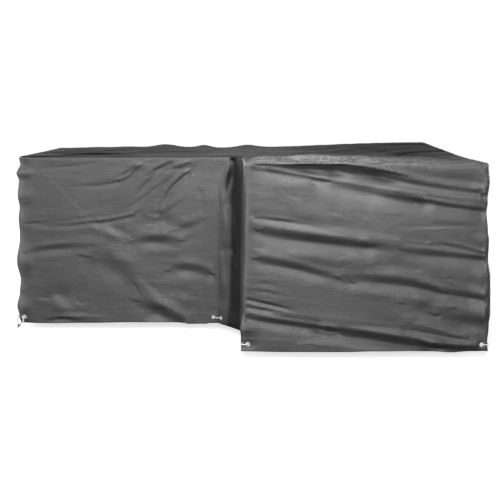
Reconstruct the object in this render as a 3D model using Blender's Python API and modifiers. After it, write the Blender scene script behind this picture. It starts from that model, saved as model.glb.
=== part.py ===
"""Fitted patio furniture cover for an L-shaped seat, as it hangs in use: one L-shaped top, six walls, two
eyelets at each corner near the hem, and short cords through the eyelets.

The frame: metres, +Z up, +X along the long side, and the open front of the L towards -Y. The origin is under
the middle of the top, where the cover is carried. Seen from above, the walls run anticlockwise round the
corners E (front left of the arm), F (front right), G (back right), B (back left), A (front left) and Q (the
inside corner). Along a wall, u runs from left to right as seen from outside, and v runs down.
"""

import math
from typing import NamedTuple

import bmesh
import bpy
from mathutils import Matrix, Vector, geometry

MM = 0.001

# Driving sizes, in metres.
LONG_SIDE = 1.831  # the whole width of the L
SHORT_SIDE = 1.390  # the whole depth of the L
HEIGHT = 0.700  # top to hem
STEP = 0.511  # how far the arm stands out in front of the set-back wall
ARM_FRONT_X = 0.028  # the arm's front left corner
INNER_SIDE_LENGTH = 0.545  # along the cloth of the arm's inner side, the bridging cloth included
BRIDGE = 0.180  # the length of that bridging cloth
INNER_ROWS = 16  # rows of the two walls that meet at the inside corner, the same so that their seam matches
FLARE = 0.016  # how far each wall stands out at the hem
CLOTH = 0.0015
ROUND = 0.010  # radius of the top edge and of the upright corners
SEAM_GAP = 0.0006  # from a corner seam's middle to the edge of each panel
TOP_SEAM_GAP = 0.0007  # from the top seam's middle to the edge of each panel
TOP_SPACING = 0.082  # between the points inside the top, along a row
TOP_ROW_SHARE = 0.9  # the rows' spacing over that
TOP_FIRST = 0.029  # the first row from the top's edge
TOP_MARGIN = 0.022  # the least from the edge
TOP_FOLD_EASE = 0.030  # the top's folds fade in over this length from its rolled edge
BESIDE_ARM = 0.1  # how far behind the inside corner the arm's edge still counts
SAME_PLACE = 0.0012  # edge points of two walls nearer than this are one
SAME_POINT = 0.00001
CORD = 0.005

# Folds fade out over these lengths beside a top edge, a rounded corner and the inside corner's seam.
TOP_EASE = 0.022
CORNER_EASE = 0.024
SEAM_EASE = 0.012
CORNER_REACH = 0.075  # how far along a wall a corner's waves reach
HEM_FROM = 0.45  # the hem's droop starts at this depth
HEM_EASE = 0.25  # and is whole this much lower
GRAIN_EASE = 0.2  # shares of the height over which slanted rows ease in from the top and out to the hem
GRAIN_END = 0.94

EYELET_UP = 0.025  # eyelet's centre above the hem
EYELET_IN = 0.022  # eyelet's centre from the corner seam
PAD_CELL = 0.009  # half a side of the plane square of cloth under an eyelet
PAD_FLAT = 0.013  # cloth is level this far round an eyelet
PAD_END = 0.021  # and has its folds again from here on
PAD_ROWS = (-3, -2)  # the two rows of a wall that bound those squares
HOLE_RADIUS = 0.0054
HOLE_SIDES = 12
HOLE_CUTTER_DEPTH = 0.012
EYELET_STEPS = 10
# The eyelet's section, (radius, height over the cloth's outer face) in millimetres: outside, then down the
# barrel through the cloth to the washer inside, and up the bore.
EYELET_SECTION = (
    (6.8, 1.4), (8.0, 0.3), (4.9, 0.3), (4.9, -1.8), (6.8, -1.8), (6.4, -2.4), (4.2, -2.4), (4.4, 1.4),
)
# A cord's way out of an eyelet, (height over the cloth, distance towards the corner) in millimetres.
BORE_STEPS = (
    (-14.5, -0.6), (-11.0, -0.5), (-7.0, -0.2), (-2.4, 0.2), (0.9, 0.8), (4.3, 2.6), (5.4, 7.2),
)
KNOT_SWELL = 1.75  # a knot's radius over the cord's
CORD_STEP = 1.2 * CORD  # between the rings of a cord
ROUTE_STEPS = 12  # points on a cord's curve between two given ones
CORNER_RISE = 0.0018  # how far a cord's middle stands out from a sharp corner
ACROSS_RISE = 0.004  # and from the line between the two eyelets of the inside corner
BESIDE_RISE = 0.0042  # a cord's height over the cloth between an eyelet and its corner
BESIDE_ALONG = 0.0135  # and that place's distance from the eyelet's centre

LEFT_X = -LONG_SIDE / 2
RIGHT_X = LONG_SIDE / 2
FRONT_Y = -SHORT_SIDE / 2
BACK_Y = SHORT_SIDE / 2
INNER_Y = FRONT_Y + STEP
ARC = ROUND * math.pi / 4  # length of half a corner's arc, from its seam to the flat wall


class Fold(NamedTuple):
    """A soft ridge (height over 0) or trough (under 0) along a curve from a start through a middle to an end.

    Places, heights and widths are in millimetres. right is the width on the right-hand side of the way along
    the curve, seen from outside, so it is the lower side of a fold that runs from left to right, and left is
    the width on its other side.
    """

    start_u: float
    start_v: float
    start_height: float
    middle_u: float
    middle_v: float
    middle_height: float
    end_u: float
    end_v: float
    end_height: float
    left: float
    right: float


class Lump(NamedTuple):
    """A low rise of the top over what lies under it, in millimetres, at x and y from the origin."""

    x: float
    y: float
    wide: float
    deep: float
    height: float


class InsideCorner(NamedTuple):
    """Plan of the cloth that bridges the inside corner, at one depth, all in millimetres.

    The seam stands at seam_x on the set-back wall. The cloth turns towards bend_x, bend_y and reaches the
    arm's side at side_x, side_y.
    """

    depth: float
    seam_x: float
    seam_y: float
    bend_x: float
    bend_y: float
    side_x: float
    side_y: float


INSIDE_CORNER = (
    InsideCorner(0, -46, -184, -8, -188, 14, -240),
    InsideCorner(150, -84, -184, -20, -194, 12, -272),
    InsideCorner(400, -88, -184, -24, -212, 13, -304),
    InsideCorner(700, -88, -190, -34, -252, 17, -336),
)

# Each row: start u, v, height; middle u, v, height; end u, v, height; left and right widths.
FRONT_FOLDS = (
    Fold(20, 14, 0, 400, 42, -13, 850, 104, -23, 34, 14),
    Fold(20, 22, 4, 400, 66, 15, 850, 124, 17, 13, 34),
    Fold(40, 44, -2, 450, 108, -11, 870, 180, -13, 30, 34),
    Fold(40, 200, -8, 170, 216, -13, 330, 242, -2, 16, 10),
    Fold(30, 214, 8, 330, 256, 13, 560, 288, 8, 12, 34),
    Fold(60, 262, -6, 260, 292, -11, 500, 318, -8, 30, 36),
    Fold(560, 282, 2, 720, 304, 10, 880, 330, 11, 20, 12),
    Fold(600, 276, -2, 750, 300, -15, 880, 322, -17, 14, 10),
    Fold(600, 330, -2, 740, 336, -11, 890, 348, -15, 16, 22),
    Fold(90, 318, 6, 260, 328, 11, 460, 360, 8, 34, 30),
    Fold(60, 358, -4, 220, 384, -13, 400, 432, -10, 30, 30),
    Fold(400, 412, -8, 600, 444, -13, 890, 498, -17, 28, 30),
    Fold(700, 392, 6, 800, 424, 11, 880, 440, 10, 40, 36),
    Fold(20, 506, -6, 90, 524, -13, 190, 544, -2, 11, 9),
    Fold(20, 530, -6, 70, 540, -11, 150, 548, -2, 10, 10),
    Fold(30, 548, 6, 300, 576, 11, 560, 618, 10, 18, 26),
    Fold(20, 572, -8, 300, 614, -19, 620, 664, -19, 26, 30),
    Fold(300, 604, 2, 600, 640, 15, 850, 676, 11, 14, 30),
    Fold(560, 690, -8, 700, 690, -15, 880, 692, -8, 26, 20),
    Fold(610, 574, 4, 690, 598, 15, 800, 640, 6, 16, 20),
    Fold(620, 612, -2, 720, 630, -11, 810, 654, -4, 12, 12),
    Fold(680, 520, -2, 780, 556, -10, 880, 580, -11, 34, 30),
)
INNER_FRONT_FOLDS = (
    Fold(60, 40, -2, 200, 34, -6, 330, 24, -2, 12, 14),
    Fold(130, 62, 3, 250, 190, 6, 400, 340, 3, 12, 12),
    Fold(420, 340, 2, 560, 480, 6, 640, 620, 3, 14, 16),
    Fold(200, 126, -3, 390, 108, -10, 480, 52, -11, 14, 16),
    Fold(300, 96, 2, 400, 84, 6, 520, 16, 10, 20, 12),
    Fold(510, 190, -5, 560, 110, -11, 620, 30, -8, 18, 16),
    Fold(600, 260, -8, 630, 130, -13, 720, 50, -13, 14, 22),
    Fold(560, 240, 5, 590, 120, 10, 690, 30, 8, 16, 12),
    Fold(40, 272, -5, 150, 288, -8, 330, 272, -3, 10, 12),
    Fold(330, 274, -3, 390, 256, -11, 470, 240, -5, 16, 18),
    Fold(60, 300, 3, 200, 300, 6, 320, 290, 2, 12, 16),
    Fold(60, 382, -6, 200, 372, -10, 300, 366, -3, 22, 30),
    Fold(180, 356, 3, 290, 352, 5, 400, 380, 5, 24, 26),
    Fold(330, 430, -3, 400, 450, -8, 470, 520, -5, 50, 44),
    Fold(500, 362, -5, 580, 352, -10, 640, 340, -3, 26, 26),
    Fold(640, 290, -5, 690, 300, -8, 740, 340, -6, 30, 30),
    Fold(640, 480, -3, 700, 462, -8, 790, 470, -5, 30, 34),
    Fold(160, 560, 2, 166, 620, 10, 250, 676, 11, 24, 22),
    Fold(110, 690, -5, 190, 682, -14, 270, 690, -5, 16, 18),
    Fold(560, 690, -5, 620, 640, -13, 690, 690, -6, 46, 46),
    Fold(730, 560, 2, 716, 600, 8, 700, 660, 5, 26, 26),
    Fold(788, 150, -6, 800, 250, -11, 794, 350, -6, 12, 20),
    Fold(792, 470, -3, 800, 540, -10, 806, 620, -6, 16, 22),
)
INNER_SIDE_FOLDS = (
    Fold(34, 170, 4, 44, 260, 13, 40, 350, 4, 24, 22),
    Fold(30, 390, -6, 70, 392, -8, 110, 420, -4, 20, 20),
    Fold(40, 440, 3, 50, 530, 11, 58, 630, 4, 24, 22),
    Fold(110, 60, -4, 112, 300, -7, 116, 560, -6, 20, 20),
    Fold(180, 300, 0, 260, 470, 7, 300, 600, 4, 30, 30),
    Fold(250, 120, 1, 330, 240, -7, 400, 300, -4, 26, 30),
    Fold(330, 560, 0, 400, 560, -7, 470, 548, -4, 14, 16),
    Fold(330, 610, 0, 410, 600, 8, 480, 590, 3, 16, 16),
    Fold(250, 690, 3, 300, 640, 10, 330, 560, 3, 24, 24),
)
LEFT_END_FOLDS = (
    Fold(860, 60, 5, 640, 120, 10, 380, 150, 3, 22, 28),
    Fold(860, 130, -3, 600, 190, -12, 300, 230, -5, 26, 26),
    Fold(850, 300, -5, 620, 330, -12, 420, 420, -5, 30, 30),
    Fold(40, 60, 3, 240, 220, 10, 460, 330, 3, 26, 26),
    Fold(860, 430, 5, 600, 450, 10, 320, 520, 5, 26, 30),
    Fold(850, 540, -5, 560, 580, -12, 240, 600, -7, 26, 26),
    Fold(120, 690, -5, 300, 650, 10, 480, 690, -5, 40, 40),
    Fold(40, 300, -3, 160, 420, -8, 260, 540, -3, 26, 26),
)
BACK_FOLDS = (
    Fold(60, 40, 5, 500, 90, 12, 900, 160, 3, 26, 34),
    Fold(60, 90, -3, 420, 180, -12, 820, 240, -5, 30, 30),
    Fold(1780, 50, 5, 1400, 110, 12, 1000, 140, 3, 34, 26),
    Fold(1780, 140, -5, 1340, 200, -12, 960, 230, -3, 30, 30),
    Fold(260, 300, 3, 620, 380, 10, 1020, 420, 3, 30, 34),
    Fold(240, 380, -3, 560, 470, -12, 900, 520, -5, 30, 30),
    Fold(1780, 330, -5, 1500, 380, -12, 1180, 470, -3, 30, 34),
    Fold(1700, 440, 3, 1400, 480, 10, 1100, 560, 3, 34, 30),
    Fold(1200, 580, -5, 1400, 560, -10, 1700, 580, -7, 26, 30),
    Fold(60, 560, 5, 360, 600, 10, 700, 620, 3, 26, 30),
    Fold(820, 690, -5, 940, 600, 12, 1010, 500, 3, 40, 40),
)
RIGHT_SIDE_FOLDS = (
    Fold(30, 80, -8, 340, 60, -12, 760, 50, -3, 26, 26),
    Fold(30, 150, 7, 420, 110, 12, 900, 120, 3, 26, 30),
    Fold(30, 250, -8, 360, 260, -14, 700, 330, -5, 26, 30),
    Fold(30, 350, -10, 320, 400, -12, 640, 480, -3, 26, 30),
    Fold(60, 300, 5, 420, 330, 10, 820, 430, 5, 26, 26),
    Fold(1360, 60, 5, 1080, 150, 12, 820, 260, 3, 30, 30),
    Fold(1360, 160, -5, 1120, 250, -12, 900, 370, -3, 30, 30),
    Fold(30, 500, -12, 300, 520, -12, 600, 580, -3, 26, 30),
    Fold(40, 440, 8, 300, 470, 10, 560, 530, 3, 26, 26),
    Fold(1350, 420, 3, 1100, 480, 10, 840, 520, 5, 30, 30),
    Fold(1340, 560, -5, 1000, 600, -12, 700, 620, -5, 30, 30),
    Fold(560, 690, -5, 700, 650, 10, 860, 690, -5, 40, 40),
)
# On the top, u and v are x and -y, so v still runs from the back towards the front.
TOP_FOLDS = (
    Fold(14, 642, 11, 260, 640, 17, 560, 644, 10, 120, 52),
    Fold(540, 640, 3, 700, 642, 7, 880, 650, 3, 90, 50),
    Fold(60, 650, 4, 280, 662, 9, 480, 656, 5, 22, 14),
    Fold(120, 610, -3, 260, 620, -6, 420, 612, -3, 20, 26),
    Fold(100, 300, 3, 420, 380, 11, 780, 430, 5, 60, 60),
    Fold(-880, 150, 5, -600, 60, 13, -300, -40, 6, 60, 50),
    Fold(-700, 170, 2, -420, 120, 10, -180, 60, 5, 30, 40),
    Fold(-560, -640, 3, -460, -300, 11, -380, -60, 3, 50, 50),
    Fold(-180, -660, 5, -120, -380, 10, 20, -100, 3, 40, 40),
    Fold(150, 200, -5, 115, 60, -11, 60, -150, -5, 50, 40),
    Fold(300, -640, 5, 420, -300, 11, 600, 40, 5, 60, 60),
    Fold(860, 560, -5, 760, 240, -13, 640, -80, -5, 60, 60),
    Fold(560, -600, -3, 640, -200, -10, 800, 120, -5, 50, 50),
    Fold(560, 600, -3, 680, 560, -10, 840, 470, -5, 40, 40),
)
LUMPS = (
    Lump(0, 0, 220, 220, 4),
    Lump(860, 720, 620, 420, 30),
    Lump(-380, 720, 70, 160, 13),
    Lump(-180, 730, 44, 140, 10),
    Lump(20, 720, 80, 140, 6),
    Lump(-560, 760, 400, 260, 7),
    Lump(340, -420, 260, 220, 6),
)
# How far a corner's upright edge stands out, in millimetres, at each depth.
CORNER_WAVES = {
    "A": (
        (0, 0), (34, -6), (69, 10), (100, -1), (160, 5), (210, -3), (260, 2), (330, -4), (437, 9),
        (520, -7), (570, -3), (630, 8), (675, -2), (700, -8),
    ),
    "E": ((0, 0), (60, -3), (330, -5), (450, -3), (560, -4), (615, 7), (650, -2), (675, -6), (700, 0)),
    "F": (
        (0, 0), (70, 5), (130, -3), (180, -7), (250, -1), (280, 3), (350, 0), (420, 8), (480, 9),
        (550, 8), (600, 3), (675, -4), (700, -1),
    ),
    "G": ((0, 0), (90, -3), (210, 3), (350, -4), (500, 4), (600, -3), (675, -3), (700, 1)),
    "B": ((0, 0), (110, -4), (240, 2), (380, -5), (520, 3), (610, -2), (675, -3), (700, 1)),
}
# How far the hem hangs down, in millimetres, at each u.
FRONT_HEM = ((0, -2), (150, 1), (380, 1), (460, -1), (600, 0), (745, 6), (830, 0), (885, -2))
INNER_FRONT_HEM = ((0, 0), (130, 2), (300, 0), (500, -3), (680, -1), (760, 3), (815, 3), (826, 0))
INNER_SIDE_HEM = ((0, 0), (30, 2), (180, 3), (320, -2), (420, 3), (560, -2))
LEFT_END_HEM = ((0, 0), (300, 3), (520, -2), (760, 2), (880, 0))
BACK_HEM = ((0, 0), (300, 3), (640, -2), (1000, 4), (1400, -1), (1830, 0))
RIGHT_SIDE_HEM = ((0, -1), (260, 3), (640, -2), (1000, 3), (1390, 0))

# The sharp corners of the plan.
CORNERS = {
    "E": Vector((ARM_FRONT_X, FRONT_Y)),
    "F": Vector((RIGHT_X, FRONT_Y)),
    "G": Vector((RIGHT_X, BACK_Y)),
    "B": Vector((LEFT_X, BACK_Y)),
    "A": Vector((LEFT_X, INNER_Y)),
    "Q": Vector((INSIDE_CORNER[0].seam_x * MM, INNER_Y)),
}
# Where the arm's inner edge stands in x at each y.
ARM_EDGE = ((FRONT_Y, ARM_FRONT_X), (-0.24, 0.014), (-0.19, -0.02), (INNER_Y + ROUND, CORNERS["Q"].x))
ROUNDING = 2 * (ROUND - ARC)  # what two rounded corners take off a wall's length
CORNER_NAMES = {
    "E": "arm_left",
    "F": "arm_right",
    "G": "back_right",
    "B": "back_left",
    "A": "left_front",
    "Q": "inside_corner",
}
# Free ends of the two cords at the front left corner, hand-placed, from the rim of each eyelet down past the
# tip of the hem.
LEFT_FRONT_FREE = [
    Vector((-0.909, -0.2095, -0.6885)),
    Vector((-0.9185, -0.2115, -0.6985)),
    Vector((-0.9265, -0.2125, -0.7095)),
    Vector((-0.934, -0.213, -0.721)),
]
LEFT_END_FREE = [
    Vector((-0.9405, -0.1835, -0.6875)),
    Vector((-0.938, -0.194, -0.6985)),
    Vector((-0.9345, -0.2025, -0.7085)),
    Vector((-0.9395, -0.2075, -0.720)),
]


def smooth(x):
    """0 below 0, 1 above 1, and a soft step between."""
    x = min(1.0, max(0.0, x))
    return x * x * (3 - 2 * x)


def along(table, at):
    """The value at one place of a table of (place, value) rows, eased from row to row."""
    if at <= table[0][0]:
        return table[0][1]
    for (low, before), (high, after) in zip(table, table[1:]):
        if at <= high:
            return before + (after - before) * smooth((at - low) / (high - low))
    return table[-1][1]


def curve_through(fold, t):
    """Place and height at t, from 0 to 1, on a parabola through a fold's start, middle and end."""
    first = (1 - t) * (1 - 2 * t)
    second = 4 * t * (1 - t)
    third = t * (2 * t - 1)
    u = first * fold.start_u + second * fold.middle_u + third * fold.end_u
    v = first * fold.start_v + second * fold.middle_v + third * fold.end_v
    if t < 0.5:
        height = fold.start_height + (fold.middle_height - fold.start_height) * smooth(2 * t)
    else:
        height = fold.middle_height + (fold.end_height - fold.middle_height) * smooth(2 * t - 1)
    return u, v, height


def fold_height(folds, u, v):
    """How far the folds raise a panel at u and v, all in metres."""
    u, v = u / MM, v / MM
    total = 0.0
    pieces = 10
    for fold in folds:
        nearest = None
        for k in range(pieces):
            u0, v0, h0 = curve_through(fold, k / pieces)
            u1, v1, h1 = curve_through(fold, (k + 1) / pieces)
            run_u, run_v = u1 - u0, v1 - v0
            length = math.hypot(run_u, run_v)
            share = ((u - u0) * run_u + (v - v0) * run_v) / length**2
            share = min(1.0, max(0.0, share))
            off_u, off_v = u - u0 - share * run_u, v - v0 - share * run_v
            distance = math.hypot(off_u, off_v)
            if nearest is None or distance < nearest[0]:
                right_hand = run_u * off_v - run_v * off_u > 0
                nearest = (distance, right_hand, h0 + share * (h1 - h0))
        distance, right_hand, height = nearest
        width = fold.right if right_hand else fold.left
        total += height * math.exp(-((distance / width) ** 2))
    return total * MM


def lift(x, y):
    """How far the top is raised at x and y by what lies under it."""
    total = 0.0
    for lump in LUMPS:
        across = (x / MM - lump.x) / lump.wide
        deep = (y / MM - lump.y) / lump.deep
        total += lump.height * math.exp(-across * across - deep * deep)
    return total * MM


def inside_corner(depth):
    """The bridging cloth's seam, bend and side points at one depth, each a plan vector."""
    values = []
    for name in InsideCorner._fields[1:]:
        rows = [(row.depth * MM, getattr(row, name) * MM) for row in INSIDE_CORNER]
        values.append(along(rows, depth))
    return Vector(values[0:2]), Vector(values[2:4]), Vector(values[4:6])


class Wall:
    """One upright panel between two corners of the plan."""

    def __init__(self, name, start, end, length, folds, hem, grain, columns, rows):
        self.name = name
        self.start = start
        self.end = end
        self.length = length
        self.folds = folds
        self.hem = hem
        self.grain = grain
        self.columns = self.column_list(columns)
        self.rows = self.row_list(rows)

    def is_round(self, corner):
        """Whether the wall turns round this corner, which all but the inside corner do."""
        return corner in CORNER_WAVES

    def column_list(self, count):
        """The u of each column: close together on the corner arcs and beside the eyelets."""
        ends = []
        for corner in (self.start, self.end):
            if self.is_round(corner):
                ends.append([SEAM_GAP, ARC / 2, ARC, EYELET_IN - PAD_CELL, EYELET_IN + PAD_CELL])
            else:
                ends.append([SEAM_GAP, EYELET_IN - PAD_CELL, EYELET_IN + PAD_CELL])
        first, last = ends
        last = [self.length - u for u in reversed(last)]
        inner = [first[-1] + (last[0] - first[-1]) * k / count for k in range(1, count)]
        return first + inner + last

    def row_list(self, count):
        """Each row is (roll angle, depth): two rows round the top edge, then rows down to the hem."""
        eyelet = HEIGHT - EYELET_UP
        rows = [(math.radians(45) - TOP_SEAM_GAP / ROUND, 0.0), (math.radians(22.5), 0.0)]
        top, bottom = ROUND, eyelet - PAD_CELL
        rows += [(0.0, top + (bottom - top) * k / count) for k in range(count + 1)]
        rows += [(0.0, eyelet + PAD_CELL), (0.0, HEIGHT)]
        return rows

    def slanted(self, u, depth):
        """A row's depth at u. Rows follow the lie of the main folds, and are level at the top and the hem."""
        share = depth / HEIGHT
        ease = smooth(share / GRAIN_EASE) * smooth((GRAIN_END - share) / GRAIN_EASE)
        return depth + self.grain * (u / self.length - 0.5) * ease

    def plan(self, u, depth, flare):
        """Plan point and outward direction at u along the wall."""
        ends = CORNERS[self.start], CORNERS[self.end]
        ahead = (ends[1] - ends[0]).normalized()
        out = Vector((ahead.y, -ahead.x))
        first = ends[0] - flare * (ahead - out) + ROUND * (ahead - out)
        last = ends[1] + flare * (ahead + out) - ROUND * (ahead + out)
        flat_from = ARC
        flat_to = self.length - ARC
        if self.end == "Q":
            seam, _, _ = inside_corner(depth)
            last = Vector((seam.x, seam.y + ROUND - flare))
            flat_to = self.length
        if u < flat_from:
            return corner_arc(first, out, -ahead, flat_from - u)
        if u > flat_to:
            return corner_arc(last, out, ahead, u - flat_to)
        share = (u - flat_from) / (flat_to - flat_from)
        return first.lerp(last, share) + ROUND * out, out

    def corner_wave(self, u, depth):
        """How far the upright corners push the wall out at u."""
        total = 0.0
        for corner, distance in ((self.start, u), (self.end, self.length - u)):
            if self.is_round(corner):
                wave = along(CORNER_WAVES[corner], depth / MM) * MM
                total += wave * (1 - smooth(distance / CORNER_REACH))
        return total

    def out(self, u, depth):
        """How far the cloth stands out from the plain wall."""
        edges = smooth(depth / TOP_EASE)
        for corner, distance in ((self.start, u), (self.end, self.length - u)):
            start, reach = (ARC / 2, CORNER_EASE) if self.is_round(corner) else (SEAM_GAP, SEAM_EASE)
            edges *= smooth((distance - start) / reach)
        return fold_height(self.folds, u, depth) * edges + self.corner_wave(u, depth)

    def padded_out(self, u, depth):
        """out, but level round each eyelet."""
        here = self.out(u, depth)
        for centre in (EYELET_IN, self.length - EYELET_IN):
            distance = math.hypot(u - centre, depth - (HEIGHT - EYELET_UP))
            if distance < PAD_END:
                level = self.out(centre, HEIGHT - EYELET_UP)
                share = smooth((distance - PAD_FLAT) / (PAD_END - PAD_FLAT))
                here = level + (here - level) * share
        return here

    def point(self, u, row):
        """The place of the panel's outer face at u on one row."""
        roll, depth = row
        depth = self.slanted(u, depth)
        share = depth / HEIGHT
        flare = FLARE * share
        place, out = self.plan(u, depth, flare)
        stand = self.padded_out(u, depth)
        place = place + out * (ROUND * (math.cos(roll) - 1) + stand)
        if roll > 0:
            depth = ROUND * (1 - math.sin(roll))
            share = 0.0
        drop = along(self.hem, u / MM) * MM * smooth((depth - HEM_FROM) / HEM_EASE)
        height = lift(place.x, place.y) * (1 - share) - depth - drop
        return Vector((place.x, place.y, height))

    def top_ring(self, roll):
        """Plan points of the top panel's edge along this wall, at one roll angle."""
        return [self.point(u, (roll, 0.0)) for u in self.columns]


class InnerSide(Wall):
    """The wall along the arm's inner side, which starts by bridging the inside corner."""

    def plan(self, u, depth, flare):
        """Plan point and outward direction at u: the bridging cloth, the arm's side, then its corner."""
        seam, bend, side = inside_corner(depth)
        shift = Vector((-flare, -flare))
        seam = seam + Vector((0.0, -flare))
        bend = bend + shift * 0.5
        side = side + shift * 0.5
        corner = CORNERS["E"] + shift
        middle = corner + Vector((ROUND, ROUND))
        last = middle + Vector((-ROUND, 0.0))
        flat_to = self.length - ARC
        if u > flat_to:
            return corner_arc(middle, Vector((-1.0, 0.0)), Vector((0.0, -1.0)), u - flat_to)
        if u > BRIDGE:
            share = (u - BRIDGE) / (flat_to - BRIDGE)
            ahead = (last - side).normalized()
            return side.lerp(last, share), Vector((ahead.y, -ahead.x))
        share = u / BRIDGE
        place = seam * (1 - share) ** 2 + bend * 2 * share * (1 - share) + side * share**2
        ahead = ((bend - seam) * (1 - share) + (side - bend) * share).normalized()
        return place, Vector((ahead.y, -ahead.x))


def corner_arc(middle, out, ahead, distance):
    """Plan point and outward direction on a corner's arc, at a distance from the flat wall.

    The arc turns from out towards ahead. At the seam it has turned by half a right angle, and the panel ends
    half the seam's gap short of it.
    """
    share = distance / (ARC - SEAM_GAP)
    turn = share * math.pi / 4
    outward = out * math.cos(turn) + ahead * math.sin(turn)
    back = (out - ahead).normalized()
    return middle + ROUND * outward + back * SEAM_GAP * share, outward


def make_material(name, colour, roughness, metallic):
    """A plain Principled material."""
    material = bpy.data.materials.new(name)
    material.use_nodes = True
    shader = material.node_tree.nodes["Principled BSDF"]
    shader.inputs["Base Color"].default_value = (*colour, 1.0)
    shader.inputs["Roughness"].default_value = roughness
    shader.inputs["Metallic"].default_value = metallic
    return material


def make_object(name, mesh, collection, material=None):
    """An object of the mesh, linked to the collection."""
    made = bpy.data.objects.new(name, mesh)
    if material:
        mesh.materials.append(material)
    collection.objects.link(made)
    return made


def add_cloth(made):
    """Gives an open panel its thickness, inwards from the face that is modelled."""
    thick = made.modifiers.new("cloth", "SOLIDIFY")
    thick.thickness = CLOTH
    thick.offset = -1.0
    made.data.shade_smooth()


def make_wall(wall, collection, cutters, material):
    """The wall's panel with its eyelet holes, and where each eyelet sits: a centre, an outward axis and the
    direction along the wall towards its corner."""
    grid = bmesh.new()
    vertices = [[grid.verts.new(wall.point(u, row)) for u in wall.columns] for row in wall.rows]
    for above, below in zip(vertices, vertices[1:]):
        for k in range(len(above) - 1):
            grid.faces.new((above[k], below[k], below[k + 1], above[k + 1]))
    seats = []
    last_column = len(wall.columns) - 1
    for corner, k in ((wall.start, 0), (wall.end, last_column)):
        step = 1 if k == 0 else -1
        near = k + step * (3 if wall.is_round(corner) else 1)
        far = near + step
        cell = [vertices[row][column].co for row in PAD_ROWS for column in (near, far)]
        centre = (cell[0] + cell[1] + cell[2] + cell[3]) / 4
        towards = (cell[0] - cell[1]).normalized()
        up = (cell[0] - cell[2]).normalized()
        axis = towards.cross(up).normalized()
        if axis.dot(outward_of(wall, wall.columns[near])) < 0:
            axis = -axis
        seats.append((corner, centre, axis, towards))
    mesh = bpy.data.meshes.new(wall.name)
    grid.to_mesh(mesh)
    grid.free()
    made = make_object(wall.name, mesh, collection, material)
    add_cloth(made)
    for corner, centre, axis, _ in seats:
        hole = made.modifiers.new(f"hole_{corner}", "BOOLEAN")
        hole.object = make_hole_cutter(f"{wall.name}_hole_{corner}", centre, axis, cutters)
    return seats


def outward_of(wall, u):
    """The wall's outward direction at u near the hem, as a 3-D vector."""
    _, out = wall.plan(u, HEIGHT - EYELET_UP, FLARE)
    return Vector((out.x, out.y, 0.0))


def make_hole_cutter(name, centre, axis, cutters):
    """A hidden cylinder through the cloth, for one eyelet's hole."""
    grid = bmesh.new()
    bmesh.ops.create_cone(
        grid,
        cap_ends=True,
        segments=HOLE_SIDES,
        radius1=HOLE_RADIUS,
        radius2=HOLE_RADIUS,
        depth=HOLE_CUTTER_DEPTH,
    )
    mesh = bpy.data.meshes.new(name)
    grid.to_mesh(mesh)
    grid.free()
    cutter = make_object(name, mesh, cutters)
    cutter.matrix_world = seat_matrix(centre, axis)
    cutter.hide_render = True
    cutter.display_type = "WIRE"
    return cutter


def seat_matrix(centre, axis):
    """A matrix that puts local Z on the axis at the centre."""
    return Matrix.Translation(centre) @ axis.to_track_quat("Z", "Y").to_matrix().to_4x4()


def make_top(walls, collection, material):
    """The L-shaped panel: its rolled edge as three rings, and points inside them, joined into triangles."""
    seam_roll = math.radians(45) + TOP_SEAM_GAP / ROUND
    rings = []
    for roll in (seam_roll, math.radians(67.5), math.radians(90)):
        ring = []
        for wall in walls:
            for place in wall.top_ring(roll):
                if not ring or (place - ring[-1]).length > SAME_PLACE:
                    ring.append(place)
        if (ring[0] - ring[-1]).length < SAME_PLACE:
            ring.pop()
        rings.append(ring)
    places = []
    edges = []
    for ring in rings:
        first = len(places)
        places += ring
        edges += [(first + k, first + (k + 1) % len(ring)) for k in range(len(ring))]
    places += inside_points()
    flat = [Vector((place.x, place.y)) for place in places]
    outline = [list(range(len(rings[0])))]
    joined = geometry.delaunay_2d_cdt(flat, edges, outline, 1, SAME_POINT)
    grid = bmesh.new()
    vertices = []
    for place, sources in zip(joined[0], joined[3]):
        height = places[sources[0]].z if sources else top_height(place.x, place.y)
        vertices.append(grid.verts.new((place.x, place.y, height)))
    for face in joined[2]:
        grid.faces.new([vertices[k] for k in face])
    bmesh.ops.recalc_face_normals(grid, faces=grid.faces)
    if grid.faces[0].normal.z < 0:
        bmesh.ops.reverse_faces(grid, faces=grid.faces)
    mesh = bpy.data.meshes.new("top_panel")
    grid.to_mesh(mesh)
    grid.free()
    add_cloth(make_object("top_panel", mesh, collection, material))


def from_edge(x, y):
    """How far inside the top's outline a point lies, under 0 outside it."""
    arm_x = along(ARM_EDGE, y)
    inside = min(x - LEFT_X, RIGHT_X - x, y - FRONT_Y, BACK_Y - y)
    if y < INNER_Y + BESIDE_ARM:
        beside_arm = max(x - arm_x, y - INNER_Y)
        inside = min(inside, beside_arm)
    return inside


def top_height(x, y):
    """The height of the top's outer face at x and y."""
    edge = smooth((from_edge(x, y) - ROUND) / TOP_FOLD_EASE)
    return lift(x, y) + fold_height(TOP_FOLDS, x, -y) * edge


def inside_points():
    """Points for the inside of the top, in staggered rows."""
    points = []
    row = 0
    y = FRONT_Y + TOP_FIRST
    while y < BACK_Y:
        x = LEFT_X + TOP_FIRST + (row % 2) * TOP_SPACING / 2
        while x < RIGHT_X:
            if from_edge(x, y) > TOP_MARGIN:
                points.append(Vector((x, y, top_height(x, y))))
            x += TOP_SPACING
        y += TOP_SPACING * TOP_ROW_SHARE
        row += 1
    return points


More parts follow.
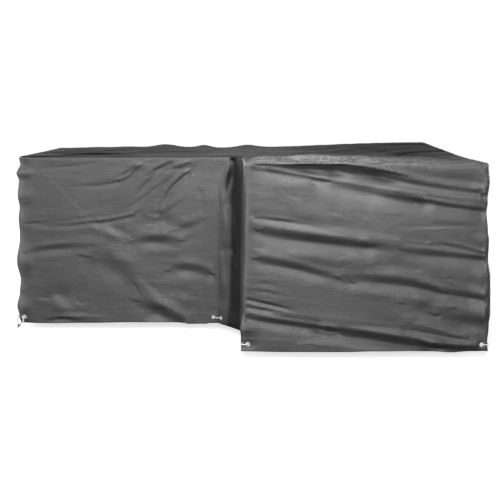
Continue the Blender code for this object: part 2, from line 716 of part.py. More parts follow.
def make_eyelet(name, centre, axis, collection, material):
    """A turned eyelet, its section swept round the axis that it sits on."""
    section = bmesh.new()
    ring = [section.verts.new((radius * MM, 0.0, height * MM)) for radius, height in EYELET_SECTION]
    for k, vertex in enumerate(ring):
        section.edges.new((vertex, ring[(k + 1) % len(ring)]))
    mesh = bpy.data.meshes.new(name)
    section.to_mesh(mesh)
    section.free()
    made = make_object(name, mesh, collection, material)
    made.matrix_world = seat_matrix(centre, axis)
    screw = made.modifiers.new("turn", "SCREW")
    screw.steps = EYELET_STEPS
    screw.render_steps = EYELET_STEPS
    screw.use_merge_vertices = True
    screw.merge_threshold = SAME_POINT


def bore_points(seat):
    """A cord's way out through one eyelet, from its knot inside to just clear of the rim."""
    _, centre, axis, towards = seat
    return [centre + axis * up * MM + towards * across * MM for up, across in BORE_STEPS]


def corner_points(corner, first, last):
    """Points that take a cord from one eyelet's rim to the next, close round the corner or across it."""
    out = (first[2] + last[2]).normalized()
    if corner not in CORNER_WAVES:
        return [(first[1] + last[1]) / 2 + out * ACROSS_RISE]
    reach = EYELET_IN + ROUND - ARC
    sharp = (first[1] + first[3] * reach + last[1] + last[3] * reach) / 2
    beside = [seat[1] + seat[2] * BESIDE_RISE + seat[3] * BESIDE_ALONG for seat in (first, last)]
    return [beside[0], sharp + out * CORNER_RISE, beside[1]]


def smooth_route(points, count):
    """Evenly shared points on a smooth curve through the given ones."""
    padded = [points[0] * 2 - points[1], *points, points[-1] * 2 - points[-2]]
    fine = []
    for before, start, end, after in zip(padded, padded[1:], padded[2:], padded[3:]):
        for k in range(ROUTE_STEPS):
            t = k / ROUTE_STEPS
            fine.append(
                0.5
                * (
                    2 * start
                    + (end - before) * t
                    + (2 * before - 5 * start + 4 * end - after) * t**2
                    + (3 * start - before - 3 * end + after) * t**3
                )
            )
    fine.append(points[-1])
    travelled = [0.0]
    for here, there in zip(fine, fine[1:]):
        travelled.append(travelled[-1] + (there - here).length)
    route = []
    at = 0
    for k in range(count):
        target = travelled[-1] * k / (count - 1)
        while at < len(fine) - 2 and travelled[at + 1] < target:
            at += 1
        share = (target - travelled[at]) / (travelled[at + 1] - travelled[at])
        route.append(fine[at].lerp(fine[at + 1], share))
    return route


def make_tie(name, points, knots, collection, material):
    """A cord along a smooth curve, swelling into a stopper knot at the ends that knots names."""
    length = sum((b - a).length for a, b in zip(points, points[1:]))
    route = smooth_route(points, round(length / CORD_STEP) + 1)
    curve = bpy.data.curves.new(name, "CURVE")
    curve.dimensions = "3D"
    curve.bevel_depth = CORD / 2
    curve.bevel_resolution = 2
    curve.use_fill_caps = True
    curve.materials.append(material)
    spline = curve.splines.new("POLY")
    spline.points.add(len(route) - 1)
    for k, (point, place) in enumerate(zip(spline.points, route)):
        knotted = ("start" in knots and k == 0) or ("end" in knots and k == len(route) - 1)
        point.co = (*place, 1.0)
        point.radius = KNOT_SWELL if knotted else 1.0
    collection.objects.link(bpy.data.objects.new(name, curve))


def make_corner_ties(seats, collection, material):
    """The cords. The one at the front left corner hangs as two free ends that are bound together."""
    for corner, (first, last) in seats.items():
        start = bore_points(first)
        end = bore_points(last)
        if corner == "A":
            make_tie("tie_left_end", start + LEFT_END_FREE, ("start",), collection, material)
            make_tie("tie_left_front", end + LEFT_FRONT_FREE, ("start",), collection, material)
            continue
        points = start + corner_points(corner, first, last) + end[::-1]
        make_tie(f"tie_{CORNER_NAMES[corner]}", points, ("start", "end"), collection, material)


def clear_scene():
    """Removes whatever the scene starts with."""
    for old in list(bpy.data.objects):
        bpy.data.objects.remove(old)


def make_collection(name):
    """A new collection in the scene."""
    collection = bpy.data.collections.new(name)
    bpy.context.scene.collection.children.link(collection)
    return collection


def make_walls():
    """The six walls, anticlockwise from the front."""
    front = Wall(
        "front_panel", "E", "F", RIGHT_X - ARM_FRONT_X - ROUNDING, FRONT_FOLDS, FRONT_HEM,
        grain=0.115, columns=14, rows=28,
    )
    right = Wall(
        "right_side_panel", "F", "G", SHORT_SIDE - ROUNDING, RIGHT_SIDE_FOLDS, RIGHT_SIDE_HEM,
        grain=0.05, columns=12, rows=9,
    )
    back = Wall(
        "back_panel", "G", "B", LONG_SIDE - ROUNDING, BACK_FOLDS, BACK_HEM,
        grain=0.0, columns=15, rows=8,
    )
    left_end = Wall(
        "left_end_panel", "B", "A", BACK_Y - INNER_Y - ROUNDING, LEFT_END_FOLDS, LEFT_END_HEM,
        grain=0.0, columns=8, rows=9,
    )
    inner_front = Wall(
        "inner_front_panel", "A", "Q", CORNERS["Q"].x - LEFT_X - ROUNDING / 2, INNER_FRONT_FOLDS,
        INNER_FRONT_HEM,
        grain=0.0, columns=17, rows=INNER_ROWS,
    )
    inner_side = InnerSide(
        "inner_side_panel", "Q", "E", INNER_SIDE_LENGTH, INNER_SIDE_FOLDS, INNER_SIDE_HEM,
        grain=0.0, columns=8, rows=INNER_ROWS,
    )
    return front, right, back, left_end, inner_front, inner_side


def main():
    """Builds the walls with their eyelets, then the top and the cords."""
    clear_scene()
    cover = make_collection("furniture_cover")
    cutters = make_collection("cutters")
    cloth = make_material("cover_cloth", (0.125, 0.125, 0.127), 0.52, 0.0)
    metal = make_material("eyelet_metal", (0.80, 0.80, 0.80), 0.3, 1.0)
    cord = make_material("tie_cord", (0.86, 0.86, 0.85), 0.75, 0.0)
    walls = make_walls()
    seats = {}
    for wall in walls:
        for seat in make_wall(wall, cover, cutters, cloth):
            corner, centre, axis, _ = seat
            on_wall = wall.name.removesuffix("_panel")
            make_eyelet(f"eyelet_{CORNER_NAMES[corner]}_on_{on_wall}", centre, axis, cover, metal)
            pair = seats.setdefault(corner, [None, None])
            pair[1 if corner == wall.start else 0] = seat
    make_top(walls, cover, cloth)
    make_corner_ties(seats, cover, cord)


main()
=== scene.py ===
import logging
import math
from dataclasses import dataclass, field
from enum import Enum
from typing import Iterable, NamedTuple, Optional, Sequence

import bmesh
import bpy
import numpy as np
from mathutils import Matrix, Vector, geometry


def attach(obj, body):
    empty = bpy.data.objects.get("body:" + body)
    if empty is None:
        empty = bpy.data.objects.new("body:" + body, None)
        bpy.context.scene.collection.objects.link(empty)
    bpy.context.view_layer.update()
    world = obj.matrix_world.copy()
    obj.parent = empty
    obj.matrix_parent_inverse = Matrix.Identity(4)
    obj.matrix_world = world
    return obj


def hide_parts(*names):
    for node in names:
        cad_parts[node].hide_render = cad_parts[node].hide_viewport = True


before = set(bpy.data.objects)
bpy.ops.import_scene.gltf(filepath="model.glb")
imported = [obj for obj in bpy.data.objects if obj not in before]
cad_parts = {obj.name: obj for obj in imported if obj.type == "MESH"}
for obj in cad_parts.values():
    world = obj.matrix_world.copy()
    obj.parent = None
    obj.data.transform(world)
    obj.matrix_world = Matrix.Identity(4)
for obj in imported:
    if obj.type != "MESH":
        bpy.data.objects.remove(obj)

LOG = logging.getLogger("cover")
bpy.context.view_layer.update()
MM = 0.001

# The cover's own sizes, in metres, as its solids have them.
LONG_SIDE = 1.831
SHORT_SIDE = 1.390
HEIGHT = 0.700
STEP = 0.511
ARM_FRONT_X = 0.028
FLARE = 0.016
ROUND = 0.010
EYELET_UP = 0.025
EYELET_IN = 0.022
CORD = 0.005
INNER_SIDE_LENGTH = 0.545
BRIDGE = 0.180
FLOOR = -0.7265
CLOTH = 0.0011
HEM = 0.048
HEM_RISE = 0.004
DROP_FROM = 0.45

LEFT_X = -LONG_SIDE / 2
RIGHT_X = LONG_SIDE / 2
FRONT_Y = -SHORT_SIDE / 2
BACK_Y = SHORT_SIDE / 2
INNER_Y = FRONT_Y + STEP
ARC = ROUND * math.pi / 4
ROUNDING = 2 * (ROUND - ARC)
QUARTER = math.pi / 4
TINY = 1e-9

# Where the walls' fine surfaces are closest, eased or flat, in metres, the first columns in millimetres.
EDGE_COLUMNS = (0, 1.2, 2.6, 4.4, 6.1, 7.85, 10.5)
EYELET_PAD = np.arange(-6, 7) * 0.0015
EYELET_HOLE = 0.006
SEAT = 0.010
SEAT_EASE = 0.009
SEAT_DEPTH = 0.02
SEAM_GAP = 0.0006
BAND_TOP = 0.003
BAND_SIDE = 0.004

# How many straight pieces a fold's line has, and how many of its widths it reaches.
FOLD_PIECES = 14
FOLD_REACH = 3.2

# Heights in millimetres and lengths in metres of the gathers beside the seams, along the top with their rows.
GATHER_SEED = 5
TOP_GATHERS = ((0.75, 0.0115, 3.0), (0.9, 0.031, 8.0))
SIDE_GATHERS = ((0.6, 0.014), (0.8, 0.04))

# The colour sockets of a mixing node.
MIX_FROM = 6
MIX_TO = 7
MIX_RESULT = 2

# Short names for types.
Array = np.ndarray
Object = bpy.types.Object
Socket = bpy.types.NodeSocket


class Fold(NamedTuple):
    """A soft ridge or trough along a curve, in millimetres on its panel."""

    start_u: float
    start_v: float
    start_height: float
    middle_u: float
    middle_v: float
    middle_height: float
    end_u: float
    end_v: float
    end_height: float
    left: float
    right: float

    def reaches(self, u: Array, v: Array) -> Array:
        """Which places are near enough to be raised by this fold.

        Args:
            u: Places along the panel, in millimetres.
            v: Places down it.

        Returns:
            True or false for each place.
        """
        reach = FOLD_REACH * max(self.left, self.right)
        low_u = min(self.start_u, self.middle_u, self.end_u) - reach
        high_u = max(self.start_u, self.middle_u, self.end_u) + reach
        low_v = min(self.start_v, self.middle_v, self.end_v) - reach
        high_v = max(self.start_v, self.middle_v, self.end_v) + reach
        return (u > low_u) & (u < high_u) & (v > low_v) & (v < high_v)

    def line(self) -> tuple[Array, Array, Array]:
        """The u, v and height of points along the fold's own middle.

        Returns:
            Three arrays, in millimetres.
        """
        t = np.linspace(0, 1, FOLD_PIECES + 1)
        first, second, third = (1 - t) * (1 - 2 * t), 4 * t * (1 - t), t * (2 * t - 1)
        line_u = first * self.start_u + second * self.middle_u + third * self.end_u
        line_v = first * self.start_v + second * self.middle_v + third * self.end_v
        rise = self.start_height + (self.middle_height - self.start_height) * smooth(2 * t)
        fall = self.middle_height + (self.end_height - self.middle_height) * smooth(2 * t - 1)
        return line_u, line_v, np.where(t < 0.5, rise, fall)


class Lump(NamedTuple):
    """A low rise of the top, in millimetres, at x and y from the origin."""

    x: float
    y: float
    wide: float
    deep: float
    height: float


class InsideCorner(NamedTuple):
    """Plan of the cloth that bridges the inside corner, at one depth, in millimetres."""

    depth: float
    seam_x: float
    seam_y: float
    bend_x: float
    bend_y: float
    side_x: float
    side_y: float


INSIDE_CORNER = (
    InsideCorner(0, -46, -184, -30, -186, 14, -240),
    InsideCorner(150, -84, -184, -26, -190, 12, -272),
    InsideCorner(400, -88, -184, -28, -197, 13, -304),
    InsideCorner(590, -88, -187, -31, -214, 15, -322),
    InsideCorner(700, -88, -190, -34, -252, 17, -336),
)

# The solids' own folds. Each row: start u, v, height; middle u, v, height; end u, v, height; both widths.
FRONT_FOLDS = (
    Fold(20, 14, 0, 400, 42, -13, 850, 104, -23, 34, 14),
    Fold(20, 22, 4, 400, 66, 15, 850, 124, 17, 13, 34),
    Fold(40, 44, -2, 450, 108, -11, 870, 180, -13, 30, 34),
    Fold(40, 200, -8, 170, 216, -13, 330, 242, -2, 16, 10),
    Fold(30, 214, 8, 330, 256, 13, 560, 288, 8, 12, 34),
    Fold(60, 262, -6, 260, 292, -11, 500, 318, -8, 30, 36),
    Fold(560, 282, 2, 720, 304, 10, 880, 330, 11, 20, 12),
    Fold(600, 276, -2, 750, 300, -15, 880, 322, -17, 14, 10),
    Fold(600, 330, -2, 740, 336, -11, 890, 348, -15, 16, 22),
    Fold(90, 318, 6, 260, 328, 11, 460, 360, 8, 34, 30),
    Fold(60, 358, -4, 220, 384, -13, 400, 432, -10, 30, 30),
    Fold(400, 412, -8, 600, 444, -13, 890, 498, -17, 28, 30),
    Fold(700, 392, 6, 800, 424, 11, 880, 440, 10, 40, 36),
    Fold(20, 506, -6, 90, 524, -13, 190, 544, -2, 11, 9),
    Fold(20, 530, -6, 70, 540, -11, 150, 548, -2, 10, 10),
    Fold(30, 548, 6, 300, 576, 11, 560, 618, 10, 18, 26),
    Fold(20, 572, -8, 300, 614, -19, 620, 664, -19, 26, 30),
    Fold(300, 604, 2, 600, 640, 15, 850, 676, 11, 14, 30),
    Fold(560, 690, -8, 700, 690, -15, 880, 692, -8, 26, 20),
    Fold(610, 574, 4, 690, 598, 15, 800, 640, 6, 16, 20),
    Fold(620, 612, -2, 720, 630, -11, 810, 654, -4, 12, 12),
    Fold(680, 520, -2, 780, 556, -10, 880, 580, -11, 34, 30),
)
INNER_FRONT_FOLDS = (
    Fold(60, 40, -2, 200, 34, -6, 330, 24, -2, 12, 14),
    Fold(200, 126, -3, 390, 108, -10, 480, 52, -11, 14, 16),
    Fold(300, 96, 2, 400, 84, 6, 520, 16, 10, 20, 12),
    Fold(510, 190, -5, 560, 110, -11, 620, 30, -8, 18, 16),
    Fold(600, 260, -8, 630, 130, -13, 720, 50, -13, 14, 22),
    Fold(560, 240, 5, 590, 120, 10, 690, 30, 8, 16, 12),
    Fold(40, 272, -5, 150, 288, -8, 330, 272, -3, 10, 12),
    Fold(330, 274, -3, 390, 256, -11, 470, 240, -5, 16, 18),
    Fold(60, 300, 3, 200, 300, 6, 320, 290, 2, 12, 16),
    Fold(60, 382, -6, 200, 372, -10, 300, 366, -3, 22, 30),
    Fold(180, 356, 3, 290, 352, 5, 400, 380, 5, 24, 26),
    Fold(330, 430, -3, 400, 450, -8, 470, 520, -5, 50, 44),
    Fold(500, 362, -5, 580, 352, -10, 640, 340, -3, 26, 26),
    Fold(640, 290, -5, 690, 300, -8, 740, 340, -6, 30, 30),
    Fold(640, 480, -3, 700, 462, -8, 790, 470, -5, 30, 34),
    Fold(160, 560, 2, 166, 620, 10, 250, 676, 11, 24, 22),
    Fold(110, 690, -5, 190, 682, -14, 270, 690, -5, 16, 18),
    Fold(560, 690, -5, 620, 640, -13, 690, 690, -6, 46, 46),
    Fold(730, 560, 2, 716, 600, 8, 700, 660, 5, 26, 26),
    Fold(788, 150, -6, 800, 250, -11, 794, 350, -6, 12, 20),
    Fold(792, 470, -3, 800, 540, -10, 806, 620, -6, 16, 22),
)
INNER_SIDE_FOLDS = (
    Fold(58, 16, -12, 64, 90, -22, 56, 190, -4, 22, 24),
    Fold(20, 185, 2, 26, 260, 6, 22, 350, 2, 15, 16),
    Fold(30, 390, -6, 70, 392, -8, 110, 420, -4, 20, 20),
    Fold(20, 430, 2, 28, 520, 8, 34, 610, 2, 16, 16),
    Fold(110, 60, -4, 112, 300, -7, 116, 560, -6, 20, 20),
    Fold(180, 300, 0, 260, 470, 7, 300, 600, 4, 30, 30),
    Fold(250, 120, 1, 330, 240, -7, 400, 300, -4, 26, 30),
    Fold(330, 560, 0, 400, 560, -7, 470, 548, -4, 14, 16),
    Fold(330, 610, 0, 410, 600, 8, 480, 590, 3, 16, 16),
    Fold(250, 690, 3, 300, 640, 10, 330, 560, 3, 24, 24),
)
LEFT_END_FOLDS = (
    Fold(860, 60, 5, 640, 120, 10, 380, 150, 3, 22, 28),
    Fold(860, 130, -3, 600, 190, -12, 300, 230, -5, 26, 26),
    Fold(850, 300, -5, 620, 330, -12, 420, 420, -5, 30, 30),
    Fold(40, 60, 3, 240, 220, 10, 460, 330, 3, 26, 26),
    Fold(860, 430, 5, 600, 450, 10, 320, 520, 5, 26, 30),
    Fold(850, 540, -5, 560, 580, -12, 240, 600, -7, 26, 26),
    Fold(120, 690, -5, 300, 650, 10, 480, 690, -5, 40, 40),
    Fold(40, 300, -3, 160, 420, -8, 260, 540, -3, 26, 26),
)
BACK_FOLDS = (
    Fold(60, 40, 5, 500, 90, 12, 900, 160, 3, 26, 34),
    Fold(60, 90, -3, 420, 180, -12, 820, 240, -5, 30, 30),
    Fold(1780, 50, 5, 1400, 110, 12, 1000, 140, 3, 34, 26),
    Fold(1780, 140, -5, 1340, 200, -12, 960, 230, -3, 30, 30),
    Fold(260, 300, 3, 620, 380, 10, 1020, 420, 3, 30, 34),
    Fold(240, 380, -3, 560, 470, -12, 900, 520, -5, 30, 30),
    Fold(1780, 330, -5, 1500, 380, -12, 1180, 470, -3, 30, 34),
    Fold(1700, 440, 3, 1400, 480, 10, 1100, 560, 3, 34, 30),
    Fold(1200, 580, -5, 1400, 560, -10, 1700, 580, -7, 26, 30),
    Fold(60, 560, 5, 360, 600, 10, 700, 620, 3, 26, 30),
    Fold(820, 690, -5, 940, 600, 12, 1010, 500, 3, 40, 40),
)
RIGHT_SIDE_FOLDS = (
    Fold(30, 80, -8, 340, 60, -12, 760, 50, -3, 26, 26),
    Fold(30, 150, 7, 420, 110, 12, 900, 120, 3, 26, 30),
    Fold(30, 250, -8, 360, 260, -14, 700, 330, -5, 26, 30),
    Fold(30, 350, -10, 320, 400, -12, 640, 480, -3, 26, 30),
    Fold(60, 300, 5, 420, 330, 10, 820, 430, 5, 26, 26),
    Fold(1360, 60, 5, 1080, 150, 12, 820, 260, 3, 30, 30),
    Fold(1360, 160, -5, 1120, 250, -12, 900, 370, -3, 30, 30),
    Fold(30, 500, -12, 300, 520, -12, 600, 580, -3, 26, 30),
    Fold(40, 440, 8, 300, 470, 10, 560, 530, 3, 26, 26),
    Fold(1350, 420, 3, 1100, 480, 10, 840, 520, 5, 30, 30),
    Fold(1340, 560, -5, 1000, 600, -12, 700, 620, -5, 30, 30),
    Fold(560, 690, -5, 700, 650, 10, 860, 690, -5, 40, 40),
)
# On the top, u and v are x and -y, so v still runs from the back towards the front.
TOP_FOLDS = (
    Fold(14, 642, 11, 260, 640, 17, 560, 644, 10, 120, 52),
    Fold(540, 640, 3, 700, 642, 7, 880, 650, 3, 90, 50),
    Fold(60, 650, 4, 280, 662, 9, 480, 656, 5, 22, 14),
    Fold(120, 610, -3, 260, 620, -6, 420, 612, -3, 20, 26),
    Fold(100, 300, 3, 420, 380, 11, 780, 430, 5, 60, 60),
    Fold(-880, 150, 5, -600, 60, 13, -300, -40, 6, 60, 50),
    Fold(-700, 170, 2, -420, 120, 10, -180, 60, 5, 30, 40),
    Fold(-560, -640, 3, -460, -300, 11, -380, -60, 3, 50, 50),
    Fold(-180, -660, 5, -120, -380, 10, 20, -100, 3, 40, 40),
    Fold(150, 200, -5, 115, 60, -11, 60, -150, -5, 50, 40),
    Fold(300, -640, 5, 420, -300, 11, 600, 40, 5, 60, 60),
    Fold(860, 560, -5, 760, 240, -13, 640, -80, -5, 60, 60),
    Fold(560, -600, -3, 640, -200, -10, 800, 120, -5, 50, 50),
    Fold(560, 600, -3, 680, 560, -10, 840, 470, -5, 40, 40),
)
LUMPS = (
    Lump(0, 0, 220, 220, 4),
    Lump(860, 720, 620, 420, 30),
    Lump(-380, 720, 70, 160, 13),
    Lump(-180, 730, 44, 140, 10),
    Lump(30, 715, 60, 120, 13),
    Lump(-560, 760, 400, 260, 7),
    Lump(340, -420, 260, 220, 6),
    Lump(900, 150, 150, 330, 10),
)
# How far a corner's upright edge stands out, in millimetres, at each depth.
CORNER_WAVES = {
    "A": (
        (0, 0), (34, -6), (69, 10), (100, -1), (160, 5), (210, -3), (260, 2), (330, -4), (437, 9),
        (520, -7), (570, -3), (630, 8), (675, -2), (700, -8),
    ),
    "E": ((0, 0), (60, -3), (330, -5), (450, -3), (560, -4), (615, 7), (650, -2), (675, -6), (700, 0)),
    "F": (
        (0, 0), (70, 5), (130, -3), (180, -7), (250, -1), (280, 3), (350, 0), (420, 8), (480, 9),
        (550, 8), (600, 3), (675, -4), (700, -1),
    ),
    "G": ((0, 0), (90, -3), (210, 3), (350, -4), (500, 4), (600, -3), (675, -3), (700, 1)),
    "B": ((0, 0), (110, -4), (240, 2), (380, -5), (520, 3), (610, -2), (675, -3), (700, 1)),
}
# How far the hem hangs down, in millimetres, at each u.
FRONT_HEM = ((0, -2), (150, 1), (380, 1), (460, -1), (600, 0), (745, 6), (830, 0), (885, -2))
INNER_FRONT_HEM = ((0, 0), (130, 2), (300, 0), (500, -3), (680, -1), (760, 3), (815, 3), (826, 0))
INNER_SIDE_HEM = ((0, 0), (30, 2), (180, 3), (320, -2), (420, 3), (560, -2))
LEFT_END_HEM = ((0, 0), (300, 3), (520, -2), (760, 2), (880, 0))
BACK_HEM = ((0, 0), (300, 3), (640, -2), (1000, 4), (1400, -1), (1830, 0))
RIGHT_SIDE_HEM = ((0, -1), (260, 3), (640, -2), (1000, 3), (1390, 0))

# Sloping bands, for the fine surfaces only, in the same columns, their heights slopes in percent. Over 0 the
# cloth slopes inwards to the right of the row's direction, and under 0 outwards.
FRONT_BANDS = (
    Fold(90, 3, 60, 200, 3, 90, 310, 4, 100, 3, 40),
    Fold(280, 4, 60, 370, 8, 100, 460, 22, 100, 4, 68),
    Fold(500, 34, 6, 660, 44, 15, 860, 54, 12, 34, 44),
    Fold(420, 22, 60, 600, 72, 100, 855, 111, 94, 21, 17),
    Fold(20, 8, -19, 330, 60, -37, 560, 92, -35, 9, 9),
    Fold(560, 92, -31, 700, 108, -25, 850, 120, -13, 11, 11),
    Fold(40, 20, 41, 160, 40, 80, 290, 64, 58, 10, 15),
    Fold(280, 66, 48, 460, 104, 74, 640, 134, 62, 22, 30),
    Fold(620, 134, 54, 740, 154, 74, 870, 171, 66, 10, 13),
    Fold(120, 74, -8, 190, 76, -23, 260, 84, -8, 15, 15),
    Fold(50, 202, 41, 150, 213, 72, 300, 240, 20, 9, 11),
    Fold(40, 212, -13, 180, 236, -35, 350, 262, -18, 8, 9),
    Fold(70, 250, 34, 240, 276, 74, 440, 300, 48, 22, 24),
    Fold(440, 300, 36, 490, 305, 19, 530, 308, 6, 22, 22),
    Fold(80, 318, -13, 190, 326, -28, 340, 346, -15, 28, 28),
    Fold(60, 356, 34, 200, 385, 70, 380, 436, 24, 20, 20),
    Fold(352, 418, -13, 366, 430, -37, 376, 444, -13, 12, 12),
    Fold(360, 424, 19, 560, 438, 60, 700, 470, 60, 24, 22),
    Fold(650, 458, 24, 780, 484, 67, 885, 500, 70, 18, 15),
    Fold(430, 462, -11, 490, 470, -29, 560, 480, -11, 26, 22),
    Fold(770, 440, -15, 825, 455, -35, 872, 470, -20, 25, 20),
    Fold(500, 386, -9, 540, 392, -22, 610, 398, -11, 22, 22),
    Fold(600, 520, 11, 650, 524, 24, 730, 530, 11, 35, 35),
    Fold(690, 520, -13, 780, 525, -31, 864, 530, -13, 15, 15),
    Fold(720, 562, 24, 810, 577, 53, 886, 592, 55, 32, 34),
    Fold(680, 296, 35, 760, 304, 80, 862, 328, 68, 11, 9),
    Fold(580, 300, -15, 700, 313, -35, 860, 341, -28, 8, 8),
    Fold(590, 322, 28, 720, 336, 55, 888, 350, 76, 14, 21),
    Fold(600, 242, -10, 690, 238, -23, 790, 232, -10, 6, 6),
    Fold(690, 220, 6, 780, 222, 14, 880, 224, 7, 15, 12),
    Fold(18, 500, 41, 90, 517, 76, 182, 541, 20, 6, 8),
    Fold(56, 515, -13, 116, 531, -41, 172, 545, -13, 6, 6),
    Fold(18, 529, 41, 74, 539, 68, 132, 547, 14, 8, 9),
    Fold(18, 556, 28, 44, 560, 38, 84, 564, 7, 6, 6),
    Fold(28, 467, 14, 92, 472, 30, 152, 486, 8, 8, 9),
    Fold(28, 435, 8, 80, 437, 18, 140, 440, 6, 10, 10),
    Fold(18, 567, 62, 150, 588, 100, 330, 615, 100, 11, 18),
    Fold(300, 611, 60, 520, 648, 100, 700, 672, 100, 18, 30),
    Fold(690, 670, 100, 790, 682, 91, 885, 694, 62, 18, 28),
    Fold(400, 604, -10, 560, 625, -33, 780, 656, -35, 12, 10),
    Fold(620, 615, 28, 700, 631, 61, 802, 651, 47, 10, 10),
    Fold(630, 590, -25, 700, 605, -35, 795, 629, -25, 12, 11),
    Fold(220, 662, -8, 270, 660, -20, 330, 664, -8, 20, 18),
    Fold(200, 140, -7, 245, 160, -20, 300, 180, -7, 40, 40),
    Fold(600, 2, 24, 720, 3, 60, 866, 3, 36, 2, 9),
    Fold(16, 2, 12, 70, 3, 36, 130, 3, 36, 2, 8),
)
INNER_FRONT_BANDS = (
    Fold(96, 46, 14, 200, 38, 32, 310, 24, 19, 7, 7),
    Fold(240, 120, 8, 360, 113, 27, 430, 101, 49, 8, 10),
    Fold(425, 102, 51, 466, 86, 68, 493, 48, 43, 11, 10),
    Fold(426, 78, 14, 448, 66, 30, 470, 48, 14, 7, 7),
    Fold(470, 26, -14, 496, 24, -59, 520, 28, -14, 14, 17),
    Fold(550, 70, 20, 584, 46, 57, 628, 26, 34, 11, 12),
    Fold(630, 54, 20, 664, 42, 62, 698, 32, 34, 11, 11),
    Fold(592, 74, -11, 612, 62, -40, 636, 52, -11, 10, 10),
    Fold(662, 76, -11, 686, 62, -38, 716, 50, -11, 10, 10),
    Fold(624, 216, 24, 646, 142, 62, 704, 74, 70, 12, 14),
    Fold(494, 196, 16, 545, 160, 43, 588, 126, 30, 11, 11),
    Fold(506, 160, 8, 532, 120, 22, 562, 84, 11, 17, 17),
    Fold(610, 256, 11, 640, 222, 24, 690, 190, 11, 17, 17),
    Fold(140, 296, 19, 240, 282, 32, 352, 268, 32, 7, 11),
    Fold(350, 272, 40, 410, 262, 74, 482, 248, 43, 10, 12),
    Fold(480, 247, 27, 510, 232, 19, 536, 214, 5, 12, 12),
    Fold(34, 276, 35, 72, 274, 43, 114, 270, 11, 7, 7),
    Fold(226, 256, 11, 300, 247, 24, 374, 231, 11, 6, 6),
    Fold(60, 286, -8, 190, 274, -22, 320, 262, -8, 7, 6),
    Fold(36, 396, 14, 150, 375, 49, 294, 370, 16, 14, 22),
    Fold(506, 354, 11, 585, 343, 51, 684, 350, 16, 23, 26),
    Fold(680, 306, 11, 727, 289, 35, 788, 268, 14, 22, 19),
    Fold(330, 424, 10, 430, 455, 24, 490, 512, 8, 50, 50),
    Fold(666, 472, 11, 735, 462, 40, 820, 484, 27, 24, 26),
    Fold(536, 616, 16, 622, 646, 81, 706, 690, 49, 34, 41),
    Fold(136, 682, 34, 192, 677, 78, 254, 685, 27, 10, 10),
    Fold(360, 300, -11, 410, 312, -35, 460, 330, -11, 24, 24),
    Fold(515, 500, -4, 566, 550, -13, 626, 605, -5, 18, 20),
    Fold(140, 600, -14, 180, 604, -30, 230, 612, -11, 36, 36),
    Fold(170, 660, -11, 240, 662, -32, 330, 668, -11, 12, 14),
    Fold(680, 580, -11, 715, 584, -30, 750, 590, -11, 22, 22),
    Fold(605, 290, -8, 635, 292, -27, 668, 296, -8, 34, 34),
    Fold(574, 245, -8, 592, 246, -27, 612, 247, -8, 12, 12),
    Fold(100, 60, -2, 195, 145, -6, 292, 242, -4, 5, 5),
)
# Painted highlight lines along fold ridges and an old packing crease, their heights how much lighter in
# percent.
FRONT_HIGHLIGHT_LINES = (
    Fold(560, 240, 10, 680, 238, 34, 790, 234, 10, 4, 4),
    Fold(60, 216, 6, 200, 232, 20, 330, 262, 8, 8, 8),
    Fold(90, 60, 6, 300, 78, 22, 470, 104, 20, 5, 5),
    Fold(470, 104, 20, 640, 124, 22, 860, 150, 20, 5, 5),
)
INNER_FRONT_HIGHLIGHT_LINES = (
    Fold(105, 60, 8, 200, 160, 13, 250, 205, 22, 4, 4),
    Fold(250, 205, 18, 270, 222, 10, 290, 240, 4, 4, 4),
    Fold(360, 290, 4, 400, 305, 14, 450, 330, 5, 14, 14),
    Fold(430, 340, 3, 465, 360, 9, 485, 380, 3, 12, 12),
    Fold(545, 500, 4, 590, 555, 10, 640, 605, 4, 4, 4),
    Fold(480, 28, 4, 496, 30, 16, 512, 26, 4, 8, 8),
)
TOP_CREASES = (
    Fold(40, 680, 2, 160, 672, 6, 300, 680, 2, 7, 7),
    Fold(150, 660, 2, 260, 652, 6, 400, 660, 2, 8, 10),
    Fold(330, 682, 2, 450, 672, 5, 560, 680, 2, 7, 8),
    Fold(60, 636, 2, 140, 644, 5, 240, 636, 2, 8, 8),
    Fold(300, 636, 2, 380, 626, 6, 470, 640, 2, 9, 9),
    Fold(560, 672, 2, 680, 680, 4, 800, 672, 2, 7, 7),
    Fold(50, 676, 1, 220, 672, 3, 420, 678, 1, 6, 5),
    Fold(90, 640, -1, 200, 646, -4, 330, 636, -1, 6, 9),
    Fold(60, 560, 1, 180, 600, 3, 300, 560, 1, 9, 9),
    Fold(330, 600, 1, 420, 640, 4, 560, 620, 1, 9, 9),
    Fold(60, 480, -1, 260, 520, -4, 520, 470, -1, 12, 12),
    Fold(300, 400, 1, 560, 300, 4, 860, 330, 1, 14, 12),
    Fold(-850, 60, 1, -640, -60, 4, -420, -260, 1, 12, 12),
    Fold(-300, 150, 1, -160, 40, 4, -80, -160, 1, 12, 12),
    Fold(-700, -300, 1, -560, -420, 4, -300, -560, 1, 14, 12),
    Fold(200, -80, 1, 460, -160, 4, 820, -120, 1, 14, 14),
    Fold(120, -500, 1, 300, -440, 4, 520, -560, 1, 14, 12),
)


class Corner(Enum):
    """The corners of the plan, named as the solids' own eyelets are."""

    ARM_LEFT = "E"
    ARM_RIGHT = "F"
    BACK_RIGHT = "G"
    BACK_LEFT = "B"
    LEFT_FRONT = "A"
    INSIDE = "Q"

    @property
    def label(self) -> str:
        """The corner's name in the names of its pieces."""
        return "inside_corner" if self is Corner.INSIDE else self.name.lower()

    @property
    def is_round(self) -> bool:
        """Whether the cloth turns round this corner."""
        return self is not Corner.INSIDE


